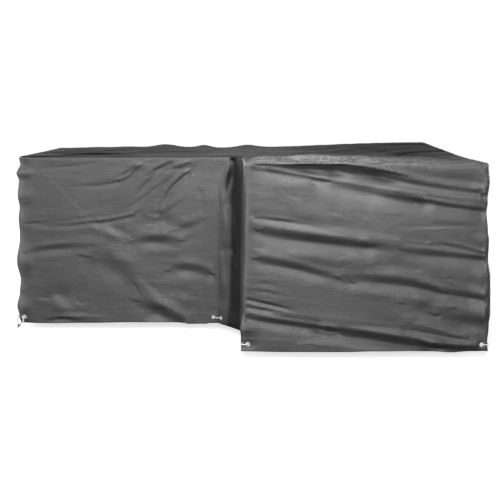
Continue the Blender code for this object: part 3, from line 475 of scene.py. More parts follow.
CORNER_PLACES: dict[Corner, tuple[float, float]] = {
    Corner.ARM_LEFT: (ARM_FRONT_X, FRONT_Y),
    Corner.ARM_RIGHT: (RIGHT_X, FRONT_Y),
    Corner.BACK_RIGHT: (RIGHT_X, BACK_Y),
    Corner.BACK_LEFT: (LEFT_X, BACK_Y),
    Corner.LEFT_FRONT: (LEFT_X, INNER_Y),
    Corner.INSIDE: (INSIDE_CORNER[0].seam_x * MM, INNER_Y),
}


def smooth(x: Array | float) -> Array:
    """0 below 0, 1 above 1, and a soft step between."""
    x = np.clip(x, 0.0, 1.0)
    return x * x * (3 - 2 * x)


def along(table: Sequence[tuple[float, float]], at: Array) -> Array:
    """Values of a table of (place, value) rows, eased from row to row.

    Args:
        table: Rows of place and value, by place.
        at: Places to read.

    Returns:
        One value for each place.
    """
    places = np.array([row[0] for row in table], float)
    values = np.array([row[1] for row in table], float)
    index = np.clip(np.searchsorted(places, at, side="left") - 1, 0, len(places) - 2)
    share = (at - places[index]) / (places[index + 1] - places[index])
    return values[index] + (values[index + 1] - values[index]) * smooth(share)


def fold_height(
    folds: Sequence[Fold], u: Array, v: Array, power: float = 2.0, bands: bool = False
) -> Array:
    """How far folds raise a panel.

    Args:
        folds: Rows in millimetres.
        u: Places along the panel, in metres.
        v: Places down the panel, in metres.
        power: 2 for a soft round fold, less for a sharp crease.
        bands: True where each row is a band that slopes inwards to its right, its heights slopes in percent.

    Returns:
        Heights in metres.
    """
    total = np.zeros(u.shape)
    u, v = u / MM, v / MM
    for fold in folds:
        near = fold.reaches(u, v)
        if not near.any():
            continue
        here_u, here_v = u[near], v[near]
        line_u, line_v, heights = fold.line()
        nearest = np.full(here_u.shape, np.inf)
        sign = np.ones(here_u.shape)
        height = np.zeros(here_u.shape)
        width = np.ones(here_u.shape)
        for k in range(FOLD_PIECES):
            run_u, run_v = line_u[k + 1] - line_u[k], line_v[k + 1] - line_v[k]
            share = ((here_u - line_u[k]) * run_u + (here_v - line_v[k]) * run_v) / (run_u**2 + run_v**2)
            share = np.clip(share, 0, 1)
            off_u = here_u - line_u[k] - share * run_u
            off_v = here_v - line_v[k] - share * run_v
            distance = np.hypot(off_u, off_v)
            closer = distance < nearest
            on_right = run_u * off_v - run_v * off_u > 0
            nearest = np.where(closer, distance, nearest)
            height = np.where(closer, heights[k] + share * (heights[k + 1] - heights[k]), height)
            width = np.where(closer, np.where(on_right, fold.right, fold.left), width)
            sign = np.where(closer, np.where(on_right, 1.0, -1.0), sign)
        if bands:
            height = -height / 100 * sign * nearest
        total[near] += height * np.exp(-((nearest / width) ** power))
    return total * MM


@dataclass(frozen=True)
class Grain:
    """Smooth random heights on a plane, the same on every run."""

    seed: int

    def at(self, x: Array, y: Array) -> Array:
        """Heights from -1 to 1.

        Args:
            x: Places across, one unit from one random height to the next.
            y: Places down, in the same unit.

        Returns:
            One height for each place.
        """
        lattice = np.random.default_rng(self.seed).uniform(-1, 1, (256, 256))
        column, row = np.floor(x).astype(int), np.floor(y).astype(int)
        fx, fy = x - column, y - row
        fx = fx**3 * (fx * (6 * fx - 15) + 10)
        fy = fy**3 * (fy * (6 * fy - 15) + 10)
        a, b = lattice[row % 256, column % 256], lattice[row % 256, (column + 1) % 256]
        c, d = lattice[(row + 1) % 256, column % 256], lattice[(row + 1) % 256, (column + 1) % 256]
        return (a * (1 - fx) + b * fx) * (1 - fy) + (c * (1 - fx) + d * fx) * fy

    def creased(self, x: Array, y: Array) -> Array:
        """Narrow ridges where the smooth heights pass through 0, from 0 to 1."""
        return np.clip(1 - 3.2 * np.abs(self.at(x, y)), 0, 1) ** 2


@dataclass(frozen=True)
class Ripple:
    """Random low waves of one size: how high in millimetres, and how far apart in metres each way."""

    height: float
    across: float
    down: float
    start: tuple[float, float] = (0.0, 0.0)

    def at(self, grain: Grain, x: Array, y: Array) -> Array:
        """Their heights at x and y."""
        return self.height * grain.at(x / self.across + self.start[0], y / self.down + self.start[1])

    def creased(self, grain: Grain, x: Array, y: Array) -> Array:
        """Narrow ridges between them, in place of the waves."""
        return self.height * grain.creased(x / self.across + self.start[0], y / self.down + self.start[1])


def gathers(at: Array, waves: Sequence[tuple[float, float, float]]) -> Array:
    """Short gathers along a seam.

    Args:
        at: Places along it, in metres.
        waves: Each wave's height in millimetres, its length in metres and its row of random heights.

    Returns:
        Heights in millimetres.
    """
    grain = Grain(GATHER_SEED)
    total = np.zeros(at.shape)
    for height, length, row in waves:
        total += height * grain.at(at / length, np.full(at.shape, row))
    return total


def lift(x: Array, y: Array) -> Array:
    """How far the top is raised at x and y by what lies under it, in metres.

    Args:
        x: Places across.
        y: Places from front to back.

    Returns:
        Heights in metres.
    """
    total = np.zeros(np.shape(x))
    for lump in LUMPS:
        across = (x / MM - lump.x) / lump.wide
        deep = (y / MM - lump.y) / lump.deep
        total = total + lump.height * np.exp(-across * across - deep * deep)
    return total * MM


def inside_corner(depth: Array) -> list[Array]:
    """The bridging cloth's seam, bend and side points at each depth, as arrays of plan points.

    Args:
        depth: Depths under the top.

    Returns:
        Three arrays of plan points.
    """
    found = []
    for names in (("seam_x", "seam_y"), ("bend_x", "bend_y"), ("side_x", "side_y")):
        both = []
        for name in names:
            rows = [(row.depth * MM, getattr(row, name) * MM) for row in INSIDE_CORNER]
            both.append(along(rows, depth))
        found.append(np.stack(both, -1))
    return found


def corner_arc(
    middle: Array, out: Array, ahead: Array, distance: Array
) -> tuple[Array, Array]:
    """Plan points and outward directions on a corner's arc.

    Args:
        middle: The arc's middle, for each point.
        out: The wall's outward direction.
        ahead: The direction along the wall towards the corner.
        distance: How far round from the flat wall, for each point.

    Returns:
        Points and directions.
    """
    turn = (distance / ARC * QUARTER)[:, None]
    outward = out * np.cos(turn) + ahead * np.sin(turn)
    return middle + ROUND * outward, outward


@dataclass
class Eyelet:
    """One eyelet as the solids place it, and its detailed form."""

    corner: Corner
    wall: str
    towards_sign: float
    rim_depth: float = 0.0013
    rim_height: float = 0.0014
    centre: Vector = field(default_factory=Vector)
    axis: Vector = field(default_factory=Vector)
    towards: Vector = field(default_factory=Vector)

    @property
    def node(self) -> str:
        """The name of the solid that this eyelet stands for."""
        return f"eyelet_{self.corner.label}_on_{self.wall}"

    @property
    def piece(self) -> str:
        """The name of its ring."""
        return f"ring_{self.corner.label}_on_{self.wall}"

    def find(self, outward: Vector) -> None:
        """Reads the eyelet's place and axis from its solid.

        Args:
            outward: A direction out of the cover here.
        """
        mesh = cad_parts[self.node].data
        places = np.empty(len(mesh.vertices) * 3)
        mesh.vertices.foreach_get("co", places)
        places = np.unique(places.reshape(-1, 3).round(6), axis=0)
        middle = places.mean(0)
        _, _, axes = np.linalg.svd(places - middle)
        axis = Vector(axes[2]).normalized()
        if axis.dot(outward) < 0:
            axis = -axis
        heights = (places - middle) @ np.array(axis)
        rim = places[heights > heights.max() - self.rim_depth]
        face = (rim - middle) @ np.array(axis)
        self.axis = axis
        self.centre = Vector(middle) + axis * (float(face.max()) - self.rim_height)
        up = (Vector((0, 0, 1)) - axis * axis.z).normalized()
        self.towards = up.cross(axis).normalized() * self.towards_sign

    def matrix(self) -> Matrix:
        """Local Z along the axis, at the centre."""
        return Matrix.Translation(self.centre) @ self.axis.to_track_quat("Z", "Y").to_matrix().to_4x4()


@dataclass
class Wall:
    """One upright panel between two corners of the plan, as a fine surface on its solid's folds.

    Its start is the corner on its left as seen from outside. Its length runs along the cloth. The hem's rows
    say how far it hangs down, in millimetres. The lean is the slope of the small wrinkles, down to the right,
    in radians, and the step is the spacing of the points. Each corner with a painted highlight on its upright
    edge has that highlight's width.
    """

    name: str
    start: Corner
    end: Corner
    length: float
    folds: Sequence[Fold]
    hem: Sequence[tuple[float, float]]
    lean: float
    step: float
    bands: Sequence[Fold] = ()
    fold_share: float = 0.9
    # Rows of painted highlight lines, and the corners whose upright edges get a painted highlight, with its
    # width.
    highlight_lines: Sequence[Fold] = ()
    painted_highlight: dict[Corner, float] = field(default_factory=dict)
    offset: float = 0.0
    top_ease: float = 0.022
    round_ease: float = 0.024
    flat_ease: float = 0.012
    hem_ease: float = 0.12
    wave_reach: float = 0.075
    hem_ridge: float = 0.0006
    groove_depth: float = 0.8
    groove_width: float = 0.0026
    gather_reach: float = 0.014
    # How strong the painted highlight on the upright edges is.
    rim_highlight: float = 0.5
    warp_along: Ripple = Ripple(5.0, 0.09, 0.07, (7.0, 0.0))
    warp_down: Ripple = Ripple(2.0, 0.07, 0.05, (31.0, 9.0))
    soft_waves: Ripple = Ripple(1.1, 0.2, 0.055, (3.0, 5.0))
    small_waves: Ripple = Ripple(0.3, 0.09, 0.022, (13.0, 0.0))
    patches: Ripple = Ripple(1.5, 0.19, 0.15, (50.0, 50.0))
    crackle: Ripple = Ripple(0.4, 0.055, 0.034, (40.0, 40.0))
    # How unevenly the painted edge highlight lies.
    uneven_rim_highlight: Ripple = Ripple(0.25, 0.03, 0.01, (17.0, 0.0))

    def __post_init__(self) -> None:
        """Gives the panel its two eyelets and its own random waves."""
        self.eyelets = [Eyelet(self.start, self.name, -1.0), Eyelet(self.end, self.name, 1.0)]
        seed = len(self.name) + int(100 * self.length)
        self.grain = Grain(11 + seed)
        self.fine = Grain(71 + seed)

    def directions(self) -> tuple[Array, Array]:
        """The wall's plan directions, along it and out of it.

        Returns:
            Two directions.
        """
        first, last = (np.array(CORNER_PLACES[c]) for c in (self.start, self.end))
        ahead = (last - first) / np.linalg.norm(last - first)
        return ahead, np.array((ahead[1], -ahead[0]))

    def plan(self, u: Array, depth: Array, flare: Array) -> tuple[Array, Array]:
        """Plan points and outward directions.

        Args:
            u: Places along the wall.
            depth: Depths under the top.
            flare: How far the wall stands out at each depth.

        Returns:
            Points and directions.
        """
        ahead, out = self.directions()
        first_corner, last_corner = (np.array(CORNER_PLACES[c]) for c in (self.start, self.end))
        flare = flare[:, None]
        first = first_corner - flare * (ahead - out) + ROUND * (ahead - out)
        last = last_corner + flare * (ahead + out) - ROUND * (ahead + out)
        flat_to = self.length - ARC
        if not self.end.is_round:
            seam = inside_corner(depth)[0]
            last = np.stack((seam[:, 0], seam[:, 1] + ROUND - flare[:, 0]), -1)
            flat_to = self.length
        share = ((u - ARC) / (flat_to - ARC))[:, None]
        place = first + (last - first) * share + ROUND * out
        outward = np.broadcast_to(out, place.shape).copy()
        on_first = u < ARC
        place[on_first], outward[on_first] = corner_arc(first[on_first], out, -ahead, ARC - u[on_first])
        on_last = u > flat_to + TINY
        place[on_last], outward[on_last] = corner_arc(last[on_last], out, ahead, u[on_last] - flat_to)
        return place, outward

    def corner_distances(self, u: Array) -> Iterable[tuple[Corner, Array]]:
        """Each end's corner with the distance from it."""
        return ((self.start, u), (self.end, self.length - u))

    def fold_stand(self, u: Array, depth: Array) -> Array:
        """How far the solid's own folds and the small wrinkles stand out, in metres.

        Args:
            u: Places along the wall.
            depth: Depths under the top.

        Returns:
            Distances in metres.
        """
        ease = smooth((HEIGHT - depth) / self.hem_ease)
        u_here = u + self.warp_along.at(self.grain, u, depth) * MM * ease
        v_here = depth + self.warp_down.at(self.grain, u, depth) * MM * ease
        total = fold_height(self.folds, u_here, v_here) * self.fold_share + self.wrinkles(u, depth)
        edges = smooth(depth / self.top_ease)
        for corner, distance in self.corner_distances(u):
            start, reach = (ARC / 2, self.round_ease) if corner.is_round else (SEAM_GAP, self.flat_ease)
            edges *= smooth((distance - start) / reach)
        return total * edges

    def band_stand(self, u: Array, fall: Array) -> Array:
        """How far the sloping bands stand out, in metres.

        Args:
            u: Places along the wall.
            fall: How far down from the top.

        Returns:
            Distances in metres.
        """
        sides = smooth((fall - BAND_TOP) / (ROUND - BAND_TOP))
        for _, distance in self.corner_distances(u):
            sides *= smooth((distance - BAND_SIDE) / self.flat_ease)
        return fold_height(self.bands, u, fall, bands=True) * sides

    def stand(self, u: Array, depth: Array, fall: Array) -> Array:
        """How far the cloth stands out from the plain wall.

        Args:
            u: Places along the wall.
            depth: Depths under the top, 0 on the rolled rows.
            fall: How far each row has come down from the top, the rolled rows too.

        Returns:
            Distances in metres.
        """
        total = self.fold_stand(u, depth) + self.band_stand(u, fall)
        for corner, distance in self.corner_distances(u):
            if corner.is_round:
                wave = along(CORNER_WAVES[corner.value], depth / MM) * MM
                total += wave * (1 - smooth(distance / self.wave_reach))
        return total + smooth((depth - (HEIGHT - HEM)) / HEM_RISE) * self.hem_ridge

    def wear(self, u: Array, depth: Array) -> Array:
        """Painted highlights: lighter lines along fold ridges and an old packing crease, and light upright
        edges where the cloth turns round a corner and catches light.

        Args:
            u: Places along the wall.
            depth: Depths under the top.

        Returns:
            Tones from 0 to 1.
        """
        total = fold_height(self.highlight_lines, u, depth) / MM / 100
        for corner, distance in self.corner_distances(u):
            if corner in self.painted_highlight:
                uneven = 0.75 + self.uneven_rim_highlight.at(self.fine, depth, distance)
                total = total + self.rim_highlight * np.exp(-((distance / self.painted_highlight[corner]) ** 2)) * uneven
        return np.clip(total, 0, 1)

    def wrinkles(self, u: Array, depth: Array) -> Array:
        """Small wrinkles and handling creases that lie all over the cloth, in metres.

        Args:
            u: Places along the wall.
            depth: Depths under the top.

        Returns:
            Distances in metres.
        """
        cos, sin = math.cos(self.lean), math.sin(self.lean)
        run, fall = u * cos + depth * sin, depth * cos - u * sin
        patch = smooth(0.5 + self.patches.at(self.grain, u, depth))
        waves = self.soft_waves.at(self.grain, run, fall) + self.small_waves.at(self.fine, run, fall)
        return (waves + self.crackle.creased(self.fine, run, fall) * patch) * MM

    def groove(self, away: Array) -> Array:
        """A seam's groove, in millimetres, at distances from the seam."""
        return -self.groove_depth * np.exp(-((away / self.groove_width) ** 2))

    def pucker(self, u: Array, from_top: Array) -> Array:
        """The seams' grooves and the short gathers beside them, in metres along the surface's own normal.

        Args:
            u: Places along the wall.
            from_top: Distances along the cloth from the top seam.

        Returns:
            Distances in metres.
        """
        total = gathers(u + self.offset, TOP_GATHERS) * np.exp(-from_top / self.gather_reach)
        total += self.groove(from_top)
        for corner, distance in self.corner_distances(u):
            if not corner.is_round:
                continue
            row = 20.0 + 7 * list(Corner).index(corner)
            waves = [(height, length, row) for height, length in SIDE_GATHERS]
            near = np.exp(-distance / self.gather_reach) * smooth(from_top / ROUND)
            total += gathers(from_top, waves) * near + self.groove(distance)
        return total * MM

    def surface(self, u: Array, roll: Array, depth: Array) -> Array:
        """Places of the outer face.

        Args:
            u: Places along the wall.
            roll: Roll angles round the top edge, 0 below it.
            depth: Depths under the top, 0 on the rolled rows.

        Returns:
            An array of points.
        """
        share = depth / HEIGHT
        place, out = self.plan(u, depth, FLARE * share)
        rolled = roll > 0
        fall = np.where(rolled, ROUND * (1 - np.sin(roll)), depth)
        place = place + out * (ROUND * (np.cos(roll) - 1) + self.stand(u, depth, fall))[:, None]
        share = np.where(rolled, 0.0, share)
        drop = along(self.hem, u / MM) * MM * smooth((fall - DROP_FROM) / (HEIGHT - DROP_FROM))
        height = lift(place[:, 0], place[:, 1]) * (1 - share) - fall - drop
        from_top = np.where(rolled, np.abs(roll - QUARTER) * ROUND, ARC + depth - ROUND)
        push = self.pucker(u, from_top)
        points = np.column_stack((place, height))
        points[:, :2] += out * (push * np.cos(roll))[:, None]
        points[:, 2] += push * np.sin(roll)
        return self.seated(points)

    def seated(self, points: Array) -> Array:
        """The same points, level under each eyelet's flange.

        Args:
            points: Places on the wall.

        Returns:
            Places.
        """
        for eyelet in self.eyelets:
            centre, axis = np.array(eyelet.centre), np.array(eyelet.axis)
            away = points - centre
            above = away @ axis
            distance = np.linalg.norm(away - above[:, None] * axis, axis=1)
            share = (1 - smooth((distance - SEAT) / SEAT_EASE)) * (np.abs(above) < SEAT_DEPTH)
            points = points - axis * (above * share)[:, None]
        return points

    def columns(self) -> Array:
        """The u of each column: close together at the seams, on the arcs and round the eyelets.

        Returns:
            Places along the wall.
        """
        left = np.concatenate((np.array(EDGE_COLUMNS) * MM, EYELET_IN + EYELET_PAD))
        right = self.length - left[::-1]
        count = max(2, round((right[0] - left[-1]) / self.step))
        return np.concatenate((left, np.linspace(left[-1], right[0], count + 1)[1:-1], right))

    def rows(self) -> list[tuple[float, float]]:
        """Each row's roll angle and depth.

        Returns:
            Pairs, from the top down.
        """
        rolled = [(QUARTER * (1 - k / 4), 0.0) for k in range(4)]
        pad = HEIGHT - EYELET_UP + EYELET_PAD
        count = round((pad[0] - ROUND) / self.step)
        depths = list(np.linspace(ROUND, pad[0], count + 1)[:-1]) + list(pad)
        depths += list(np.linspace(pad[-1], HEIGHT, 5)[1:])
        return rolled + [(0.0, float(depth)) for depth in depths]

    def find_eyelets(self) -> None:
        """Reads both eyelets' places from their solids."""
        for eyelet, u in zip(self.eyelets, (EYELET_IN, self.length - EYELET_IN)):
            _, out = self.plan(np.array([u]), np.array([HEIGHT - EYELET_UP]), np.array([FLARE]))
            eyelet.find(Vector((*out[0], 0.0)))

    def build(self, finish: "Finish") -> Object:
        """Args:
            finish: The cloth's finish.

        Returns:
            The panel's object.
        """
        columns, rows = self.columns(), self.rows()
        across, down = len(columns), len(rows)
        u = np.tile(columns, down)
        roll = np.repeat([row[0] for row in rows], across)
        depth = np.repeat([row[1] for row in rows], across)
        points = self.surface(u, roll, depth)
        corners = np.arange(across * down).reshape(down, across)
        quads = np.stack((corners[:-1, :-1], corners[1:, :-1], corners[1:, 1:], corners[:-1, 1:]), -1)
        quads = quads.reshape(-1, 4)
        middles = points[quads].mean(1)
        keep = np.ones(len(quads), bool)
        for eyelet in self.eyelets:
            keep &= np.linalg.norm(middles - np.array(eyelet.centre), axis=1) > EYELET_HOLE
        flat = np.column_stack((u, -np.where(roll > 0, ARC - roll * ROUND, ARC + depth - ROUND)))
        obj = mesh_object(f"{self.name}_cloth", points, quads[keep], flat, self.wear(u, depth))
        thicken(obj, CLOTH)
        finish.dress(obj)
        place(obj, "cover_cloth", f"{self.name}_panel")
        return obj

    def top_ring(self, roll: float) -> Array:
        """Places of the top panel's edge along this wall, at one roll angle."""
        columns = self.columns()
        return self.surface(columns, np.full(columns.shape, roll), np.zeros(columns.shape))


def on_curve(points: Sequence[Array], share: Array | float, tight: Array) -> Array:
    """Places on a curve through its first and last point that bends towards its middle one.

    Args:
        points: The curve's three points, for each place.
        share: The curve's own parameter, from 0 to 1.
        tight: How close the curve comes to its bend point, from 1.

    Returns:
        The places.
    """
    weights = ((1 - share) ** 2, 2 * tight * share * (1 - share), share**2)
    return sum(point * weight for point, weight in zip(points, weights)) / sum(weights)


@dataclass
class InnerSide(Wall):
    """The wall along the arm's inner side, which starts by bridging the inside corner."""

    tightest: float = 3.0
    loose_from: float = 0.56
    loose_over: float = 0.09
    curve_steps: int = 32
    # Painted shade in the inside corner: how dark, where it starts and ends along the wall, and how much
    # wider it is near the top.
    shade: float = 0.95
    shade_from: float = 0.052
    shade_to: float = 0.42
    wider_at_top: float = 0.05
    wider_above: float = 0.10

    def wear(self, u: Array, depth: Array) -> Array:
        """Painted shade, under 0, in the inside corner, whose dark the lamps alone don't give.

        Args:
            u: Places along the wall.
            depth: Depths under the top.

        Returns:
            Tones from -1 to 0.
        """
        high = 1 - smooth((depth - self.wider_above) / 0.12)
        near = smooth((u - self.shade_from + self.wider_at_top * high) / 0.03)
        return -self.shade * near * (1 - smooth((u - self.shade_to) / 0.1))

    def shares(self, u: Array, tight: Array, points: Sequence[Array]) -> Array:
        """How far each point lies along the bridging cloth's curve, so that the cloth isn't stretched.

        Args:
            u: Places along the wall.
            tight: How close the curve comes to its bend point, from 1.
            points: The curve's seam, bend and side points, for each place.

        Returns:
            The curve's own parameter, from 0 to 1.
        """
        steps = np.linspace(0, 1, self.curve_steps + 1)
        lengths = np.zeros((len(u), len(steps)))
        before = points[0]
        for k, step in enumerate(steps[1:], 1):
            here = on_curve(points, step, tight)
            lengths[:, k] = lengths[:, k - 1] + np.linalg.norm(here - before, axis=1)
            before = here
        wanted = np.clip(u, 0, BRIDGE) / BRIDGE * lengths[:, -1]
        index = np.clip((lengths <= wanted[:, None]).sum(1) - 1, 0, self.curve_steps - 1)
        row = np.arange(len(u))
        low, high = lengths[row, index], lengths[row, index + 1]
        return ((index + (wanted - low) / (high - low)) / self.curve_steps)[:, None]

    def directions(self) -> tuple[Array, Array]:
        """Its plan directions beside the arm."""
        return np.array((0.0, -1.0)), np.array((-1.0, 0.0))

    def plan(self, u: Array, depth: Array, flare: Array) -> tuple[Array, Array]:
        """Plan points and outward directions: the bridging cloth, the arm's side, then its corner.

        Args:
            u: Places along the wall.
            depth: Depths under the top.
            flare: How far the wall stands out at each depth.

        Returns:
            Points and directions.
        """
        seam, bend, side = inside_corner(depth)
        shift = -np.stack((flare, flare), -1)
        seam = seam + np.stack((np.zeros(flare.shape), -flare), -1)
        bend = bend + shift * 0.5
        side = side + shift * 0.5
        middle = np.array(CORNER_PLACES[Corner.ARM_LEFT]) + shift + ROUND
        last = middle + np.array((-ROUND, 0.0))
        flat_to = self.length - ARC
        loose = smooth((depth - self.loose_from) / self.loose_over)
        tight = (1 + (self.tightest - 1) * (1 - loose))[:, None]
        share = self.shares(u, tight, (seam, bend, side))
        place = on_curve((seam, bend, side), share, tight)
        slopes = (2 * share - 2, 2 * tight * (1 - 2 * share), 2 * share)
        ahead = seam * slopes[0] + bend * slopes[1] + side * slopes[2] - place * sum(slopes)
        beside = u > BRIDGE
        straight = ((u - BRIDGE) / (flat_to - BRIDGE))[:, None]
        place = np.where(beside[:, None], side + (last - side) * straight, place)
        ahead = np.where(beside[:, None], last - side, ahead)
        ahead = ahead / np.linalg.norm(ahead, axis=1)[:, None]
        outward = np.stack((ahead[:, 1], -ahead[:, 0]), -1)
        turning = u > flat_to + TINY
        place[turning], outward[turning] = corner_arc(
            middle[turning], np.array((-1.0, 0.0)), np.array((0.0, -1.0)), u[turning] - flat_to
        )
        return place, outward


def mesh_object(
    name: str,
    points: Array,
    faces: Array,
    uv: Optional[Array] = None,
    wear: Optional[Array] = None,
) -> Object:
    """An object of these points and faces, smooth, at the origin.

    Args:
        name: The piece's name.
        points: Places, in metres.
        faces: Rows of point numbers, all of one length.
        uv: A flat place for each point, in metres.
        wear: The coating's tone at each point, from -1, darkest painted shade, to 1, lightest painted
            highlight.

    Returns:
        The object, linked to the scene.
    """
    mesh = bpy.data.meshes.new(name)
    sides = faces.shape[1]
    mesh.vertices.add(len(points))
    mesh.vertices.foreach_set("co", points.astype(np.float32).ravel())
    mesh.loops.add(faces.size)
    mesh.loops.foreach_set("vertex_index", faces.astype(np.int32).ravel())
    mesh.polygons.add(len(faces))
    mesh.polygons.foreach_set("loop_start", np.arange(0, faces.size, sides, dtype=np.int32))
    if uv is not None:
        layer = mesh.uv_layers.new(name="panel")
        layer.data.foreach_set("uv", uv[faces.ravel()].astype(np.float32).ravel())
    if wear is not None:
        tone = mesh.attributes.new("wear", "FLOAT", "POINT")
        tone.data.foreach_set("value", wear.astype(np.float32))
    mesh.update(calc_edges=True)
    mesh.validate()
    mesh.shade_smooth()
    obj = bpy.data.objects.new(name, mesh)
    bpy.context.scene.collection.objects.link(obj)
    return obj


def thicken(obj: Object, thickness: float) -> None:
    """Gives an open surface its thickness, inwards, as plain mesh.

    Args:
        obj: The piece.
        thickness: In metres.
    """
    modifier = obj.modifiers.new("thickness", "SOLIDIFY")
    modifier.thickness = thickness
    modifier.offset = -1.0
    bake(obj)


def bake(obj: Object) -> None:
    """Turns an object with modifiers into plain mesh.

    Args:
        obj: The piece.
    """
    graph = bpy.context.evaluated_depsgraph_get()
    mesh = bpy.data.meshes.new_from_object(obj.evaluated_get(graph))
    obj.modifiers.clear()
    obj.data = mesh


def place(obj: Object, slot: str, *nodes: str) -> None:
    """Ties a finished piece to the part.

    Args:
        obj: The piece.
        slot: Not used.
        nodes: The solids that it stands for.
    """
    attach(obj, "root")
    if nodes:
        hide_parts(*nodes)
    LOG.info("%s: %d faces", obj.name, len(getattr(obj.data, "polygons", ())))


@dataclass
class Top:
    """The L-shaped panel: its rolled edge in rings, and a fine inside."""

    walls: Sequence[Wall]
    spacing: float = 0.0078
    rolls: int = 4
    thickness: float = CLOTH
    joined_under: float = 0.0004
    gather_reach: float = 0.05
    # Place and size of a small round patch of painted shade.
    lens: tuple[float, float, float] = (0.1, -0.5, 0.05)
    warp_across: Ripple = Ripple(12.0, 0.11, 0.1, (60.0, 60.0))
    warp_down: Ripple = Ripple(10.0, 0.09, 0.08, (90.0, 90.0))
    soft_waves: Ripple = Ripple(4.6, 0.26, 0.062, (9.0, 9.0))
    small_waves: Ripple = Ripple(1.2, 0.09, 0.026, (5.0, 0.0))
    patches: Ripple = Ripple(1.6, 0.2, 0.17, (33.0, 33.0))
    crackle: Ripple = Ripple(1.1, 0.06, 0.05, (70.0, 70.0))
    streaks: Ripple = Ripple(0.5, 0.3, 0.05, (20.0, 20.0))

    def from_edge(self, x: Array, y: Array) -> Array:
        """How far inside the top's outline each point lies, under 0 outside it.

        Args:
            x: Places across.
            y: Places from front to back.

        Returns:
            Distances in metres.
        """
        inside_x = CORNER_PLACES[Corner.INSIDE][0]
        edge = ((FRONT_Y, ARM_FRONT_X), (-0.24, 0.014), (-0.19, -0.02), (INNER_Y + ROUND, inside_x))
        arm_x = along(edge, np.clip(y, FRONT_Y, INNER_Y + ROUND))
        inside = np.minimum.reduce([x - LEFT_X, RIGHT_X - x, y - FRONT_Y, BACK_Y - y])
        beside = np.maximum(x - arm_x, y - INNER_Y)
        return np.where(y < INNER_Y + 0.1, np.minimum(inside, beside), inside)

    def height(self, x: Array, y: Array) -> Array:
        """Heights of the outer face inside the rolled edge.

        Args:
            x: Places across.
            y: Places from front to back.

        Returns:
            Heights in metres.
        """
        inside = self.from_edge(x, y) - ROUND
        edge, near = smooth(inside / 0.03), smooth(inside / 0.012)
        grain, fine = Grain(207), Grain(313)
        warp_x = self.warp_across.at(grain, x, y) * MM
        warp_y = self.warp_down.at(grain, x, y) * MM
        folds = fold_height(TOP_FOLDS, x + warp_x, -y + warp_y) * edge
        folds += fold_height(TOP_CREASES, x + warp_x / 2, -y + warp_y / 3, 1.5) * near
        patch = smooth(0.5 + self.patches.at(grain, x, y))
        soft = self.soft_waves.at(grain, x, y) + self.small_waves.at(fine, x, y)
        soft += self.crackle.creased(fine, x, y) * patch
        puckers = np.zeros(x.shape)
        for wall in self.walls:
            u, beside = self.beside(wall, x, y)
            away = np.abs(beside)
            u = np.clip(u, EYELET_IN, wall.length - EYELET_IN)
            puckers += wall.pucker(u, away) * np.exp(-away / self.gather_reach)
        return lift(x, y) + folds + soft * MM * near + puckers * smooth(inside / 0.002)

    def wear(self, x: Array, y: Array) -> Array:
        """Random streaks, and painted shade, under 0, on the top's back right, its far left and a small round
        patch, darker than the lamps make them.

        Args:
            x: Places across.
            y: Places from front to back.

        Returns:
            Tones from -1.
        """
        # Painted shade on the back right and the far left, and in a small round patch.
        shaded = 0.95 * smooth((x - 0.1) / 0.4) * smooth((y + 0.35) / 0.35)
        shaded += 0.65 * smooth((-0.3 - x) / 0.3)
        lens_x, lens_y, lens_size = self.lens
        lens = 0.6 * np.exp(-(((x - lens_x) / lens_size) ** 2) - ((y - lens_y) / lens_size) ** 2)
        streaks = self.streaks.at(Grain(61), x, y) * smooth((y + 0.6) / 0.06)
        return np.clip(streaks - shaded - lens, -1, 0.12)

    def beside(self, wall: Wall, x: Array, y: Array) -> tuple[Array, Array]:
        """Where each point lies along a wall, and how far along the cloth from its top seam.

        Args:
            wall: The wall.
            x: Places across.
            y: Places from front to back.

        Returns:
            Both, in metres.
        """
        ahead, out = wall.directions()
        first = np.array(CORNER_PLACES[wall.start])
        u = (x - first[0]) * ahead[0] + (y - first[1]) * ahead[1] - (ROUND - ARC)
        inside = -((x - first[0]) * out[0] + (y - first[1]) * out[1])
        return u, inside - ROUND + ARC

    def ring(self, roll: float) -> Array:
        """The rolled edge's places all the way round, at one roll angle.

        Args:
            roll: The angle.

        Returns:
            An array of places.
        """
        places: list[Array] = []
        for wall in self.walls:
            for point in wall.top_ring(roll):
                if not places or np.linalg.norm(point - places[-1]) > self.joined_under:
                    places.append(point)
        if np.linalg.norm(places[0] - places[-1]) < self.joined_under:
            places.pop()
        return np.array(places)

    def inner_places(self) -> Array:
        """An even grid of places inside the rolled edge.

        Returns:
            An array of places.
        """
        across, down = np.arange(LEFT_X, RIGHT_X, self.spacing), np.arange(FRONT_Y, BACK_Y, self.spacing)
        x, y = (part.ravel() for part in np.meshgrid(across, down))
        keep = self.from_edge(x, y) > ROUND + 0.6 * self.spacing
        x, y = x[keep], y[keep]
        return np.column_stack((x, y, self.height(x, y)))

    def build(self, finish: "Finish") -> Object:
        """Args:
            finish: The cloth's finish.

        Returns:
            The top's object.
        """
        rings = [self.ring(QUARTER * (1 + k / self.rolls)) for k in range(self.rolls + 1)]
        edges: list[tuple[int, int]] = []
        first = 0
        for ring in rings:
            edges += [(first + k, first + (k + 1) % len(ring)) for k in range(len(ring))]
            first += len(ring)
        places = np.concatenate((*rings, self.inner_places()))
        flat = [Vector((float(p[0]), float(p[1]))) for p in places]
        outline = [list(range(len(rings[0])))]
        joined = geometry.delaunay_2d_cdt(flat, edges, outline, 1, 1e-6)
        points = np.array([places[sources[0]] for sources in joined[3]])
        faces = np.array(joined[2])
        a, b, c = (points[faces[:, k]] for k in range(3))
        turned_down = np.cross(b - a, c - a)[:, 2] < 0
        faces[turned_down] = faces[turned_down][:, ::-1]
        obj = mesh_object("top_cloth", points, faces, points[:, :2], self.wear(points[:, 0], points[:, 1]))
        thicken(obj, self.thickness)
        finish.dress(obj)
        place(obj, "cover_cloth", "top_panel")
        return obj


